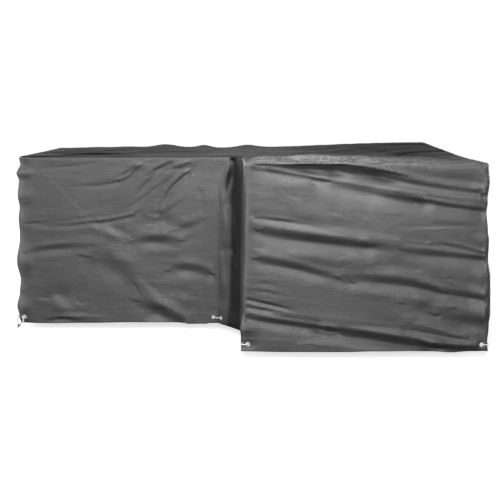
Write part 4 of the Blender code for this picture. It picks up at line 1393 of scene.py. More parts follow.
def smooth_route(points: Sequence[Vector], spacing: float) -> Array:
    """Evenly shared points on a smooth curve through the given ones.

    Args:
        points: Places that the curve passes through.
        spacing: The distance between the new points, in metres.

    Returns:
        An array of places.
    """
    given = np.array([tuple(p) for p in points])
    padded = np.vstack((2 * given[0] - given[1], given, 2 * given[-1] - given[-2]))
    fine = []
    for before, start, end, after in zip(padded, padded[1:], padded[2:], padded[3:]):
        for t in np.arange(0, 1, 1 / 24):
            fine.append(
                0.5
                * (
                    2 * start
                    + (end - before) * t
                    + (2 * before - 5 * start + 4 * end - after) * t**2
                    + (3 * start - before - 3 * end + after) * t**3
                )
            )
    fine = np.array(fine + [given[-1]])
    travelled = np.concatenate(([0], np.cumsum(np.linalg.norm(np.diff(fine, axis=0), axis=1))))
    count = max(8, round(travelled[-1] / spacing) + 1)
    wanted = np.linspace(0, travelled[-1], count)
    return np.stack([np.interp(wanted, travelled, fine[:, k]) for k in range(3)], -1)


def tube(name: str, route: Array, radii: Array, sides: int = 14) -> Object:
    """A round tube along a route, closed at both ends, with its length and turn as its flat places.

    Args:
        name: The piece's name.
        route: Places along its middle.
        radii: Its radius at each place.
        sides: Points round it.

    Returns:
        The tube's object.
    """
    ahead = np.gradient(route, axis=0)
    ahead /= np.linalg.norm(ahead, axis=1)[:, None]
    across = np.cross(ahead[0], (0.3, 0.2, 1.0))
    across /= np.linalg.norm(across)
    travelled = np.concatenate(([0], np.cumsum(np.linalg.norm(np.diff(route, axis=0), axis=1))))
    grid = bmesh.new()
    layer = grid.loops.layers.uv.new("panel")
    rings = []
    for k, middle in enumerate(route):
        across = across - ahead[k] * np.dot(across, ahead[k])
        across /= np.linalg.norm(across)
        other = np.cross(ahead[k], across)
        ring = []
        for side in range(sides):
            turn = 2 * math.pi * side / sides
            spoke = across * math.cos(turn) + other * math.sin(turn)
            ring.append(grid.verts.new(middle + radii[k] * spoke))
        rings.append(ring)
    for k, (here, there) in enumerate(zip(rings, rings[1:])):
        for side in range(sides):
            after = (side + 1) % sides
            face = grid.faces.new((here[side], here[after], there[after], there[side]))
            flat = ((side, k), (side + 1, k), (side + 1, k + 1), (side, k + 1))
            for loop, (turn, row) in zip(face.loops, flat):
                loop[layer].uv = (turn / sides, travelled[row])
    grid.faces.new(rings[0][::-1])
    grid.faces.new(rings[-1])
    bmesh.ops.recalc_face_normals(grid, faces=grid.faces)
    mesh = bpy.data.meshes.new(name)
    grid.to_mesh(mesh)
    grid.free()
    mesh.shade_smooth()
    obj = bpy.data.objects.new(name, mesh)
    bpy.context.scene.collection.objects.link(obj)
    return obj


def close_normals(obj: Object) -> None:
    """Turns the faces of a closed piece outwards.

    Args:
        obj: The piece.
    """
    grid = bmesh.new()
    grid.from_mesh(obj.data)
    bmesh.ops.recalc_face_normals(grid, faces=grid.faces)
    grid.to_mesh(obj.data)
    grid.free()


def ring_faces(sides: int, points: int) -> Array:
    """Four-sided faces of a closed ring of closed sections, by the number of sections and their points.

    Args:
        sides: The number of sections.
        points: The points of each.

    Returns:
        Rows of point numbers.
    """
    corners = np.arange(sides * points).reshape(sides, points)
    beside, above = np.roll(corners, -1, 0), np.roll(corners, -1, 1)
    return np.stack((corners, beside, np.roll(beside, -1, 1), above), -1).reshape(-1, 4)


def turned(name: str, section: Sequence[tuple[float, float]], matrix: Matrix, sides: int) -> Object:
    """A ring turned from a closed section.

    Args:
        name: The piece's name.
        section: Radius and height of each point, in millimetres.
        matrix: Puts the ring's own middle and axis in their place.
        sides: Points round it.

    Returns:
        The ring's object.
    """
    profile = np.array(section) * MM
    turns = np.arange(sides) * 2 * math.pi / sides
    points = np.stack(
        (
            profile[None, :, 0] * np.cos(turns)[:, None],
            profile[None, :, 0] * np.sin(turns)[:, None],
            np.broadcast_to(profile[:, 1], (sides, len(profile))),
        ),
        -1,
    ).reshape(-1, 3)
    turned_points = points @ np.array(matrix.to_3x3()).T + np.array(matrix.translation)
    obj = mesh_object(name, turned_points, ring_faces(sides, len(profile)))
    close_normals(obj)
    return obj


@dataclass
class NodeTree:
    """Short names for the few things that a material's nodes need."""

    name: str

    def __post_init__(self) -> None:
        """Starts an empty material of that name."""
        self.material = bpy.data.materials.new(self.name)
        self.material.use_nodes = True
        self.tree = self.material.node_tree
        self.tree.nodes.clear()

    def add(self, kind: str, **values: object) -> bpy.types.Node:
        """Adds a node.

        Args:
            kind: The node's type name after ShaderNode.
            values: Its properties, or its inputs' values where it has no such property.

        Returns:
            The node.
        """
        node = self.tree.nodes.new(f"ShaderNode{kind}")
        for key, value in values.items():
            if hasattr(node, key):
                setattr(node, key, value)
            else:
                node.inputs[key.replace("_", " ")].default_value = value
        return node

    def link(self, source: Socket, target: Socket) -> None:
        """Joins two sockets."""
        self.tree.links.new(source, target)

    def maths(self, operation: str, *values: Socket | float, clamp: bool = False) -> Socket:
        """One value worked out from others.

        Args:
            operation: What is done.
            values: The values, each a socket or a number.
            clamp: Whether the result is kept between 0 and 1.

        Returns:
            The result.
        """
        node = self.add("Math", operation=operation, use_clamp=clamp)
        for value, target in zip(values, node.inputs):
            if isinstance(value, float):
                target.default_value = value
            else:
                self.link(value, target)
        return node.outputs[0]

    def stretched(self, source: Socket, scale: tuple[float, float, float]) -> Socket:
        """The coordinates, scaled.

        Args:
            source: Coordinates.
            scale: Along each axis.

        Returns:
            Coordinates.
        """
        node = self.add("Mapping")
        node.inputs["Scale"].default_value = scale
        self.link(source, node.inputs["Vector"])
        return node.outputs["Vector"]

    def noise(self, source: Socket, scale: float, detail: float = 2.0, roughness: float = 0.5) -> Socket:
        """Smooth random grey.

        Args:
            source: Coordinates.
            scale: Waves in a unit.
            detail: Finer layers.
            roughness: Their share.

        Returns:
            Values from 0 to 1.
        """
        node = self.add("TexNoise")
        node.inputs["Scale"].default_value = scale
        node.inputs["Detail"].default_value = detail
        node.inputs["Roughness"].default_value = roughness
        self.link(source, node.inputs["Vector"])
        return node.outputs["Fac"]

    def ranged(self, source: Socket, low: float, high: float, to_low: float, to_high: float) -> Socket:
        """A value moved from one range to another, and kept in it.

        Args:
            source: The value.
            low: Where it starts.
            high: Where it ends.
            to_low: What the start becomes.
            to_high: What the end becomes.

        Returns:
            The value.
        """
        node = self.add("MapRange")
        for key, value in (("From Min", low), ("From Max", high), ("To Min", to_low), ("To Max", to_high)):
            node.inputs[key].default_value = value
        self.link(source, node.inputs["Value"])
        return node.outputs["Result"]

    def bump(
        self, height: Socket, strength: float, distance: float, under: Optional[Socket] = None
    ) -> Socket:
        """A surface direction from a height, over another direction.

        Args:
            height: The height.
            strength: Its share.
            distance: Its size in metres.
            under: The other direction.

        Returns:
            The direction.
        """
        node = self.add("Bump")
        node.inputs["Strength"].default_value = strength
        node.inputs["Distance"].default_value = distance
        self.link(height, node.inputs["Height"])
        if under is not None:
            self.link(under, node.inputs["Normal"])
        return node.outputs["Normal"]

    def mixed(self, share: Socket, low: Sequence[float], high: Sequence[float]) -> Socket:
        """A colour between two.

        Args:
            share: From 0 to 1.
            low: The colour at 0.
            high: The colour at 1.

        Returns:
            The colour.
        """
        node = self.add("ValToRGB")
        node.color_ramp.elements[0].color = (*low, 1.0)
        node.color_ramp.elements[1].color = (*high, 1.0)
        self.link(share, node.inputs["Fac"])
        return node.outputs["Color"]

    def towards(self, share: Socket, source: Socket, colour: Sequence[float]) -> Socket:
        """A colour moved by a share towards another one.

        Args:
            share: From 0 to 1.
            source: The first colour.
            colour: The other one.

        Returns:
            The colour.
        """
        node = self.add("Mix", data_type="RGBA")
        self.link(share, node.inputs["Factor"])
        self.link(source, node.inputs[MIX_FROM])
        node.inputs[MIX_TO].default_value = (*colour, 1.0)
        return node.outputs[MIX_RESULT]

    def shader(self, **constants: float) -> bpy.types.Node:
        """A principled shader on the output, with its constants on its own sockets.

        Args:
            constants: Values by their sockets' names, with _ for a space.

        Returns:
            The shader's node.
        """
        node = self.add("BsdfPrincipled")
        for key, value in constants.items():
            node.inputs[key.replace("_", " ")].default_value = value
        output = self.add("OutputMaterial")
        self.link(node.outputs["BSDF"], output.inputs["Surface"])
        return node


@dataclass(frozen=True)
class Finish:
    """A named finish, whose material is made when a piece first needs it."""

    name: str

    def fill(self, nodes: NodeTree) -> None:
        """Makes the finish's nodes in an empty material."""
        raise NotImplementedError

    def material(self) -> bpy.types.Material:
        """The finish's material, made once.

        Returns:
            The material.
        """
        if self.name not in bpy.data.materials:
            self.fill(NodeTree(self.name))
        return bpy.data.materials[self.name]

    def dress(self, obj: Object) -> None:
        """Puts the finish on a piece."""
        obj.data.materials.clear()
        obj.data.materials.append(self.material())


@dataclass(frozen=True)
class CoatedCloth(Finish):
    """Woven polyester with a smooth grey coating, creased from its bag.

    Its grids and scales say how often the slubs, warp, streaks, the painted sheen's mottling and the nets of
    creases come in a metre.
    """

    name: str = "coated_cloth"
    dark: tuple[float, float, float] = (0.052, 0.052, 0.053)
    light: tuple[float, float, float] = (0.078, 0.078, 0.079)
    # The colours that painted highlights lighten towards and painted shade darkens towards.
    painted_highlight: tuple[float, float, float] = (0.22, 0.22, 0.22)
    shaded: tuple[float, float, float] = (0.007, 0.007, 0.0075)
    smoothest: float = 0.40
    roughest: float = 0.56
    gloss: float = 0.55
    slub_grid: tuple[float, float, float] = (11.0, 210.0, 1.0)
    warp_grid: tuple[float, float, float] = (900.0, 60.0, 1.0)
    streak_grid: tuple[float, float, float] = (10.0, 62.0, 1.0)
    sheen_grid: tuple[float, float, float] = (16.0, 70.0, 1.0)
    crack_scale: float = 38.0
    glint_scale: float = 95.0

    def cracks(self, nodes: NodeTree, source: Socket, scale: float, width: float) -> Socket:
        """A net of fine crease lines, 1 on the lines.

        Args:
            nodes: The material's nodes.
            source: Coordinates.
            scale: Cells in a metre.
            width: Width of the lines as a share of a cell.

        Returns:
            The lines.
        """
        bent = nodes.add("VectorMath", operation="MULTIPLY_ADD")
        colour = nodes.add("TexNoise")
        colour.inputs["Scale"].default_value = scale * 0.9
        nodes.link(source, colour.inputs["Vector"])
        nodes.link(colour.outputs["Color"], bent.inputs[0])
        bent.inputs[1].default_value = (0.6 / scale,) * 3
        nodes.link(source, bent.inputs[2])
        net = nodes.add("TexVoronoi", feature="DISTANCE_TO_EDGE")
        net.inputs["Scale"].default_value = scale
        nodes.link(bent.outputs[0], net.inputs["Vector"])
        return nodes.ranged(net.outputs["Distance"], 0.0, width, 1.0, 0.0)

    def front_edge(self, nodes: NodeTree, places: Socket) -> Socket:
        """1 on the arm's top along its front edge, where the cloth is crinkled most and a painted sheen
        lightens it.

        Args:
            nodes: The material's nodes.
            places: Coordinates on the piece.

        Returns:
            Values from 0 to 1.
        """
        parts = nodes.add("SeparateXYZ")
        nodes.link(places, parts.inputs["Vector"])
        high = nodes.ranged(parts.outputs["Z"], -0.008, -0.003, 0.0, 1.0)
        near = nodes.ranged(parts.outputs["Y"], -0.50, -0.67, 0.0, 1.0)
        left = nodes.ranged(parts.outputs["X"], 0.42, 0.80, 1.0, 0.4)
        return nodes.maths("MULTIPLY", nodes.maths("MULTIPLY", high, near), left)

    def relief(self, nodes: NodeTree, layers: Sequence[tuple[Socket, float, float]]) -> Optional[Socket]:
        """The surface's direction from layers of heights, each with its strength and its depth in metres.

        Args:
            nodes: The material's nodes.
            layers: Height, strength and depth of each.

        Returns:
            The direction.
        """
        normal = None
        for height, strength, depth in layers:
            normal = nodes.bump(height, strength, depth, normal)
        return normal

    def colour(self, nodes: NodeTree, places: Socket, slubs: Socket, glints: Socket, edge: Socket) -> Socket:
        """The coating's colour: painted highlights where its tone is over 0, painted glints on the finest
        creases, a painted sheen along the top's front edge, and painted shade where its tone is under 0.

        Args:
            nodes: The material's nodes.
            places: Coordinates on the piece.
            slubs: The woven threads' unevenness.
            glints: The finest creases, painted lighter as glints.
            edge: 1 along the top's front edge, where a painted sheen lies.

        Returns:
            The colour.
        """
        # Tone from the mesh: painted highlight over 0, painted shade under 0, and the top's random streaks.
        wear = nodes.add("Attribute", attribute_name="wear").outputs["Fac"]
        woven = nodes.mixed(nodes.ranged(slubs, 0.3, 0.7, 0.0, 1.0), self.dark, self.light)
        # Painted glints on the finest creases, strongest along the top's front edge.
        lines = nodes.maths("MULTIPLY", glints, nodes.ranged(edge, 0.0, 1.0, 0.16, 0.9))
        # A mottled painted sheen along the top's front edge.
        painted_sheen = nodes.noise(nodes.stretched(places, self.sheen_grid), 1.0, 3.0, 0.6)
        painted_sheen = nodes.maths("MULTIPLY", nodes.ranged(painted_sheen, 0.42, 0.64, -0.05, 0.6), edge)
        # All the painted lightening together, then painted shade where the tone is under 0.
        painted_lightening = nodes.maths("ADD", wear, nodes.maths("ADD", lines, painted_sheen), clamp=True)
        lighter = nodes.towards(painted_lightening, woven, self.painted_highlight)
        return nodes.towards(nodes.ranged(wear, -1.0, 0.0, 1.0, 0.0), lighter, self.shaded)

    def fill(self, nodes: NodeTree) -> None:
        """Makes the cloth's nodes.

        Args:
            nodes: An empty material's nodes.
        """
        panel = nodes.add("UVMap", uv_map="panel").outputs["UV"]
        places = nodes.add("TexCoord").outputs["Object"]
        slubs = nodes.noise(nodes.stretched(panel, self.slub_grid), 1.0, 4.0, 0.62)
        warp = nodes.noise(nodes.stretched(panel, self.warp_grid), 1.0, 1.0, 0.5)
        streaks = nodes.noise(nodes.stretched(panel, self.streak_grid), 1.0, 4.0, 0.6)
        handling = nodes.noise(places, 38.0, 4.0, 0.6)
        broad = nodes.noise(places, 8.0, 3.0, 0.55)
        patches = nodes.ranged(nodes.noise(places, 5.5, 2.0, 0.5), 0.48, 0.62, 0.0, 1.0)
        edge = self.front_edge(nodes, places)
        crinkled = nodes.maths("MAXIMUM", patches, edge)
        cracks = self.cracks(nodes, places, self.crack_scale, 0.08)
        cracks = nodes.maths("MULTIPLY", cracks, nodes.ranged(crinkled, 0.0, 1.0, 0.35, 1.0))
        glints = nodes.maths("MULTIPLY", self.cracks(nodes, places, self.glint_scale, 0.12), crinkled)
        layers = (
            (broad, 0.25, 0.006), (streaks, 0.2, 0.0026), (handling, 0.14, 0.002), (cracks, 0.5, 0.0009),
            (glints, 0.45, 0.0006), (slubs, 0.26, 0.0009), (warp, 0.16, 0.0004),
        )
        shader = nodes.shader(Specular_IOR_Level=self.gloss, Sheen_Weight=0.04, Sheen_Roughness=0.4)
        nodes.link(self.colour(nodes, places, slubs, glints, edge), shader.inputs["Base Color"])
        nodes.link(nodes.ranged(broad, 0.3, 0.7, self.smoothest, self.roughest), shader.inputs["Roughness"])
        nodes.link(self.relief(nodes, layers), shader.inputs["Normal"])


@dataclass(frozen=True)
class PlainFinish(Finish):
    """A finish of one colour with a little unevenness: the eyelets' metal, the thread and the dark band."""

    colour: tuple[float, float, float]
    roughness: float
    metallic: float = 0.0
    grain_scale: float = 900.0
    grain_depth: float = 0.00006

    def fill(self, nodes: NodeTree) -> None:
        """Makes the finish's nodes.

        Args:
            nodes: An empty material's nodes.
        """
        source = nodes.add("TexCoord").outputs["Object"]
        grain = nodes.noise(source, self.grain_scale, 3.0, 0.6)
        uneven = nodes.ranged(grain, 0.2, 0.8, self.roughness - 0.07, self.roughness + 0.08)
        low = tuple(0.86 * part for part in self.colour)
        shader = nodes.shader(Metallic=self.metallic)
        nodes.link(nodes.mixed(grain, low, self.colour), shader.inputs["Base Color"])
        nodes.link(uneven, shader.inputs["Roughness"])
        nodes.link(nodes.bump(grain, 0.4, self.grain_depth), shader.inputs["Normal"])


@dataclass(frozen=True)
class BraidedCord(Finish):
    """White braided cord."""

    name: str = "white_braid"
    colour: tuple[float, float, float] = (0.86, 0.86, 0.85)
    strands: float = 8.0
    pitch: float = 0.0042
    braid_depth: float = 0.0004

    def fill(self, nodes: NodeTree) -> None:
        """Makes the cord's nodes.

        Args:
            nodes: An empty material's nodes.
        """
        parts = nodes.add("SeparateXYZ")
        nodes.link(nodes.add("UVMap", uv_map="panel").outputs["UV"], parts.inputs["Vector"])
        waves = []
        for sign in (1.0, -1.0):
            turn = nodes.maths("MULTIPLY", parts.outputs["X"], sign * self.strands * math.pi)
            run = nodes.maths("MULTIPLY_ADD", parts.outputs["Y"], 2 * math.pi / self.pitch, turn)
            waves.append(nodes.maths("SINE", run))
        height = nodes.ranged(nodes.maths("MULTIPLY", *waves), -1.0, 1.0, 0.0, 1.0)
        # The braid's grooves are painted darker than its crowns, a painted shade.
        low = tuple(0.72 * part for part in self.colour)
        shader = nodes.shader(Roughness=0.72, Sheen_Weight=0.2)
        nodes.link(nodes.mixed(height, low, self.colour), shader.inputs["Base Color"])
        nodes.link(nodes.bump(height, 0.6, self.braid_depth), shader.inputs["Normal"])


THREAD = PlainFinish("seam_thread", (0.045, 0.045, 0.046), 0.6)
METAL = PlainFinish("eyelet_metal_bright", (0.93, 0.93, 0.92), 0.4, 0.08)
DARK_CLASP = PlainFinish("dark_clasp", (0.02, 0.02, 0.021), 0.45)


@dataclass
class Eyelets:
    """The metal eyelets, each with a rolled rim outside and a washer inside."""

    # Radius and height of each point of a ring's outline, in millimetres.
    section: tuple[tuple[float, float], ...] = (
        (7.9, 0.25), (7.95, 0.55), (7.6, 1.0), (7.0, 1.32), (6.2, 1.42), (5.4, 1.30), (4.8, 1.0),
        (4.45, 0.5), (4.35, -0.4), (4.25, -2.1), (4.5, -2.4), (5.4, -2.45), (6.4, -2.35), (6.8, -2.05),
        (6.7, -1.8), (4.95, -1.75), (4.85, -1.5), (4.85, 0.1), (5.1, 0.22), (7.4, 0.22),
    )
    sides: int = 36

    def build(self, walls: Sequence[Wall]) -> list[Object]:
        """Makes every eyelet.

        Args:
            walls: The walls, which hold the eyelets' places.

        Returns:
            The eyelets' objects.
        """
        made = []
        for wall in walls:
            for eyelet in wall.eyelets:
                obj = turned(eyelet.piece, self.section, eyelet.matrix(), self.sides)
                METAL.dress(obj)
                place(obj, "eyelet_metal", eyelet.node)
                made.append(obj)
        return made


class CordEnd(Enum):
    """How a cord ends."""

    THROUGH = "object"
    FREE = "bare"


@dataclass
class Cords:
    """The white cords, through the eyelets as the solids run them, each end inside in a stopper knot."""

    # Height over the eyelet and distance towards the corner, in millimetres, from the inside out.
    bore: tuple[tuple[float, float], ...] = (
        (-14.5, -0.6), (-11.0, -0.5), (-7.0, -0.2), (-2.4, 0.2), (0.9, 0.8), (4.3, 2.6), (5.4, 7.2),
    )
    left_front_free: tuple[tuple[float, float, float], ...] = (
        (-0.909, -0.2095, -0.6885),
        (-0.9185, -0.2115, -0.6985),
        (-0.9275, -0.2105, -0.7095),
        (-0.934, -0.213, -0.721),
    )
    left_end_free: tuple[tuple[float, float, float], ...] = (
        (-0.9405, -0.1835, -0.6875),
        (-0.938, -0.194, -0.6985),
        (-0.932, -0.2055, -0.7085),
        (-0.9395, -0.2075, -0.720),
    )
    knot: float = 1.7
    knot_at: float = 0.0022
    knot_length: float = 0.0055
    free_end: float = 0.75
    bridge_out: float = 0.004
    beside_out: float = 0.0042
    beside_along: float = 0.0135
    corner_out: float = 0.0018
    spacing: float = 0.0011

    def out_of(self, eyelet: Eyelet) -> list[Vector]:
        """A cord's way out through one eyelet, from its knot inside to just clear of the rim."""
        way = ((eyelet.axis * up + eyelet.towards * across) * MM for up, across in self.bore)
        return [eyelet.centre + step for step in way]

    def between(self, first: Eyelet, last: Eyelet) -> list[Vector]:
        """Points from one eyelet's rim to the next, close round the corner or straight across it.

        Args:
            first: The eyelet that the cord leaves.
            last: The one that it enters.

        Returns:
            Places.
        """
        out = (first.axis + last.axis).normalized()
        if not first.corner.is_round:
            return [(first.centre + last.centre) / 2 + out * self.bridge_out]
        reach = EYELET_IN + ROUND - ARC
        sharp = (first.centre + first.towards * reach + last.centre + last.towards * reach) / 2
        steps = (e.axis * self.beside_out + e.towards * self.beside_along for e in (first, last))
        before, after = (e.centre + step for e, step in zip((first, last), steps))
        return [before, sharp + out * self.corner_out, after]

    def make(self, name: str, points: Sequence[Vector], end: CordEnd, finish: Finish) -> Object:
        """Makes one cord.

        Args:
            name: The name of its solid after tie_.
            points: Places that it passes through.
            end: How its far end is.
            finish: The cord's finish.

        Returns:
            The cord's object.
        """
        route = smooth_route(points, self.spacing)
        travelled = np.concatenate(([0], np.cumsum(np.linalg.norm(np.diff(route, axis=0), axis=1))))
        radii = np.full(len(route), CORD / 2)
        ends = [travelled] + ([travelled[-1] - travelled] if end is CordEnd.THROUGH else [])
        for distance in ends:
            swell = 1 - smooth(np.abs(distance - self.knot_at) / self.knot_length)
            radii = np.maximum(radii, CORD / 2 * (1 + (self.knot - 1) * swell))
        if end is CordEnd.FREE:
            radii[-1] *= self.free_end
        obj = tube(f"cord_{name}", route, radii)
        finish.dress(obj)
        place(obj, "tie_cord", f"tie_{name}")
        return obj

    def build(self, walls: Sequence[Wall], finish: Finish) -> list[Object]:
        """Makes every cord.

        Args:
            walls: The walls, anticlockwise.
            finish: The cord's finish.

        Returns:
            The cords' objects.
        """
        made = []
        for before, after in zip((walls[-1], *walls), walls):
            first, last = before.eyelets[1], after.eyelets[0]
            start, end = self.out_of(first), self.out_of(last)
            if first.corner is Corner.LEFT_FRONT:
                free = [Vector(p) for p in self.left_end_free]
                made.append(self.make("left_end", start + free, CordEnd.FREE, finish))
                free = [Vector(p) for p in self.left_front_free]
                made.append(self.make("left_front", end + free, CordEnd.FREE, finish))
                continue
            points = start + self.between(first, last) + end[::-1]
            made.append(self.make(first.corner.label, points, CordEnd.THROUGH, finish))
        return made


@dataclass
class Binding:
    """The dark band that holds the two free cords of the front left corner together."""

    middle: tuple[float, float, float] = (-0.92975, -0.208, -0.709)
    apart: float = 0.0068
    width: float = 0.0062
    inner: float = CORD / 2
    outer: float = CORD / 2 + 0.0012
    crown: float = 0.0003
    sides: int = 40

    def build(self, along_cords: Vector, across: Vector) -> Object:
        """Makes the band.

        Args:
            along_cords: The cords' direction where it holds them.
            across: From one cord to the other.

        Returns:
            The band's object.
        """
        run = along_cords.normalized()
        side = (across - run * across.dot(run)).normalized()
        face = run.cross(side)
        section = (
            (self.inner, -0.5),
            (self.outer, -0.5),
            (self.outer + self.crown, 0.0),
            (self.outer, 0.5),
            (self.inner, 0.5),
        )
        points = []
        for k in range(self.sides):
            turn = 2 * math.pi * k / self.sides
            shift = side * math.copysign(self.apart / 2, math.cos(turn))
            spoke = side * math.cos(turn) + face * math.sin(turn)
            for radius, height in section:
                points.append(Vector(self.middle) + shift + spoke * radius + run * height * self.width)
        faces = ring_faces(self.sides, len(section))
        obj = mesh_object("cord_band", np.array([tuple(p) for p in points]), faces)
        close_normals(obj)
        DARK_CLASP.dress(obj)
        place(obj, "tie_cord")
        return obj


@dataclass
class Stitching:
    """Rows of stitches beside every seam and along the hem."""

    pitch: float = 0.0048
    length: float = 0.0034
    thread: float = 0.00035
    beside: float = 0.006
    over_hem: float = 0.003
    line_step: float = 0.004

    def rows(self, walls: Sequence[Wall]) -> list[Array]:
        """The lines that the stitches follow, on the finished surfaces.

        Args:
            walls: The walls.

        Returns:
            An array of places for each line.
        """
        lines = []
        for wall in walls:
            u = np.arange(self.over_hem, wall.length - self.over_hem, self.line_step)
            down = np.arange(ROUND, HEIGHT - 0.002, self.line_step)
            for roll in (QUARTER - self.beside / ROUND, QUARTER + self.beside / ROUND):
                lines.append(wall.surface(u, np.full(u.shape, roll), np.zeros(u.shape)))
            lines.append(wall.surface(u, np.zeros(u.shape), np.full(u.shape, HEIGHT - HEM + self.over_hem)))
            sides = ((wall.start, self.beside), (wall.end, wall.length - self.beside))
            for at in (place_u for corner, place_u in sides if corner.is_round):
                lines.append(wall.surface(np.full(down.shape, at), np.zeros(down.shape), down))
        return lines

    def build_tree(self, material: bpy.types.Material) -> bpy.types.GeometryNodeTree:
        """Geometry nodes that set stitches along the lines of a mesh.

        Args:
            material: The thread's material.

        Returns:
            The node tree.
        """
        tree = bpy.data.node_groups.new("stitch_rows", "GeometryNodeTree")
        face = tree.interface
        face.new_socket("Lines", in_out="INPUT", socket_type="NodeSocketGeometry")
        sizes = (("Pitch", self.pitch), ("Stitch length", self.length), ("Thread radius", self.thread))
        for name, value in sizes:
            socket = face.new_socket(name, in_out="INPUT", socket_type="NodeSocketFloat")
            socket.default_value = value
        face.new_socket("Stitches", in_out="OUTPUT", socket_type="NodeSocketGeometry")
        new = tree.nodes.new
        source, result = new("NodeGroupInput"), new("NodeGroupOutput")
        curve, spaced = new("GeometryNodeMeshToCurve"), new("GeometryNodeCurveToPoints")
        spaced.mode = "LENGTH"
        stitch, shaped = new("GeometryNodeMeshIcoSphere"), new("GeometryNodeTransform")
        stitch.inputs["Radius"].default_value = 1.0
        stitch.inputs["Subdivisions"].default_value = 1
        half = new("ShaderNodeMath")
        half.operation = "MULTIPLY"
        half.inputs[1].default_value = 0.5
        size = new("ShaderNodeCombineXYZ")
        turn, copies = new("FunctionNodeAlignRotationToVector"), new("GeometryNodeInstanceOnPoints")
        turn.axis = "Z"
        real, dressed = new("GeometryNodeRealizeInstances"), new("GeometryNodeSetMaterial")
        dressed.inputs["Material"].default_value = material
        joints = (
            (source, "Lines", curve, "Mesh"),
            (curve, "Curve", spaced, "Curve"),
            (source, "Pitch", spaced, "Length"),
            (source, "Stitch length", half, 0),
            (source, "Thread radius", size, "X"),
            (source, "Thread radius", size, "Y"),
            (half, 0, size, "Z"),
            (stitch, "Mesh", shaped, "Geometry"),
            (size, "Vector", shaped, "Scale"),
            (spaced, "Tangent", turn, "Vector"),
            (spaced, "Points", copies, "Points"),
            (shaped, "Geometry", copies, "Instance"),
            (turn, "Rotation", copies, "Rotation"),
            (copies, "Instances", real, "Geometry"),
            (real, "Geometry", dressed, "Geometry"),
            (dressed, "Geometry", result, "Stitches"),
        )
        for start, output, end, entry in joints:
            tree.links.new(start.outputs[output], end.inputs[entry])
        return tree

    def build(self, walls: Sequence[Wall]) -> Object:
        """Makes all the stitches as one plain mesh.

        Args:
            walls: The walls whose seams they follow.

        Returns:
            The stitches' object.
        """
        lines = self.rows(walls)
        mesh = bpy.data.meshes.new("stitch_lines")
        places = np.concatenate(lines)
        edges, first = [], 0
        for line in lines:
            edges += [(first + k, first + k + 1) for k in range(len(line) - 1)]
            first += len(line)
        mesh.from_pydata([tuple(p) for p in places], edges, [])
        obj = bpy.data.objects.new("seam_stitches", mesh)
        bpy.context.scene.collection.objects.link(obj)
        tree = self.build_tree(THREAD.material())
        modifier = obj.modifiers.new("stitches", "NODES")
        modifier.node_group = tree
        for item in tree.interface.items_tree:
            if item.item_type == "SOCKET" and item.in_out == "INPUT" and item.name == "Pitch":
                modifier[item.identifier] = self.pitch
        bake(obj)
        obj.data.shade_smooth()
        place(obj, "cover_cloth")
        return obj


@dataclass(frozen=True)
class Softbox:
    """A round soft light that the camera doesn't see."""

    name: str
    place: tuple[float, float, float]
    width: float
    power: float
    target: tuple[float, float, float] = (0.2, -0.1, -0.3)

    def build(self) -> None:
        """Adds the light."""
        data = bpy.data.lights.new(self.name, "AREA")
        data.shape = "DISK"
        data.size = self.width
        data.energy = self.power
        obj = bpy.data.objects.new(self.name, data)
        obj.location = self.place
        obj.rotation_euler = (Vector(self.place) - Vector(self.target)).to_track_quat("Z", "Y").to_euler()
        obj.visible_camera = False
        bpy.context.scene.collection.objects.link(obj)


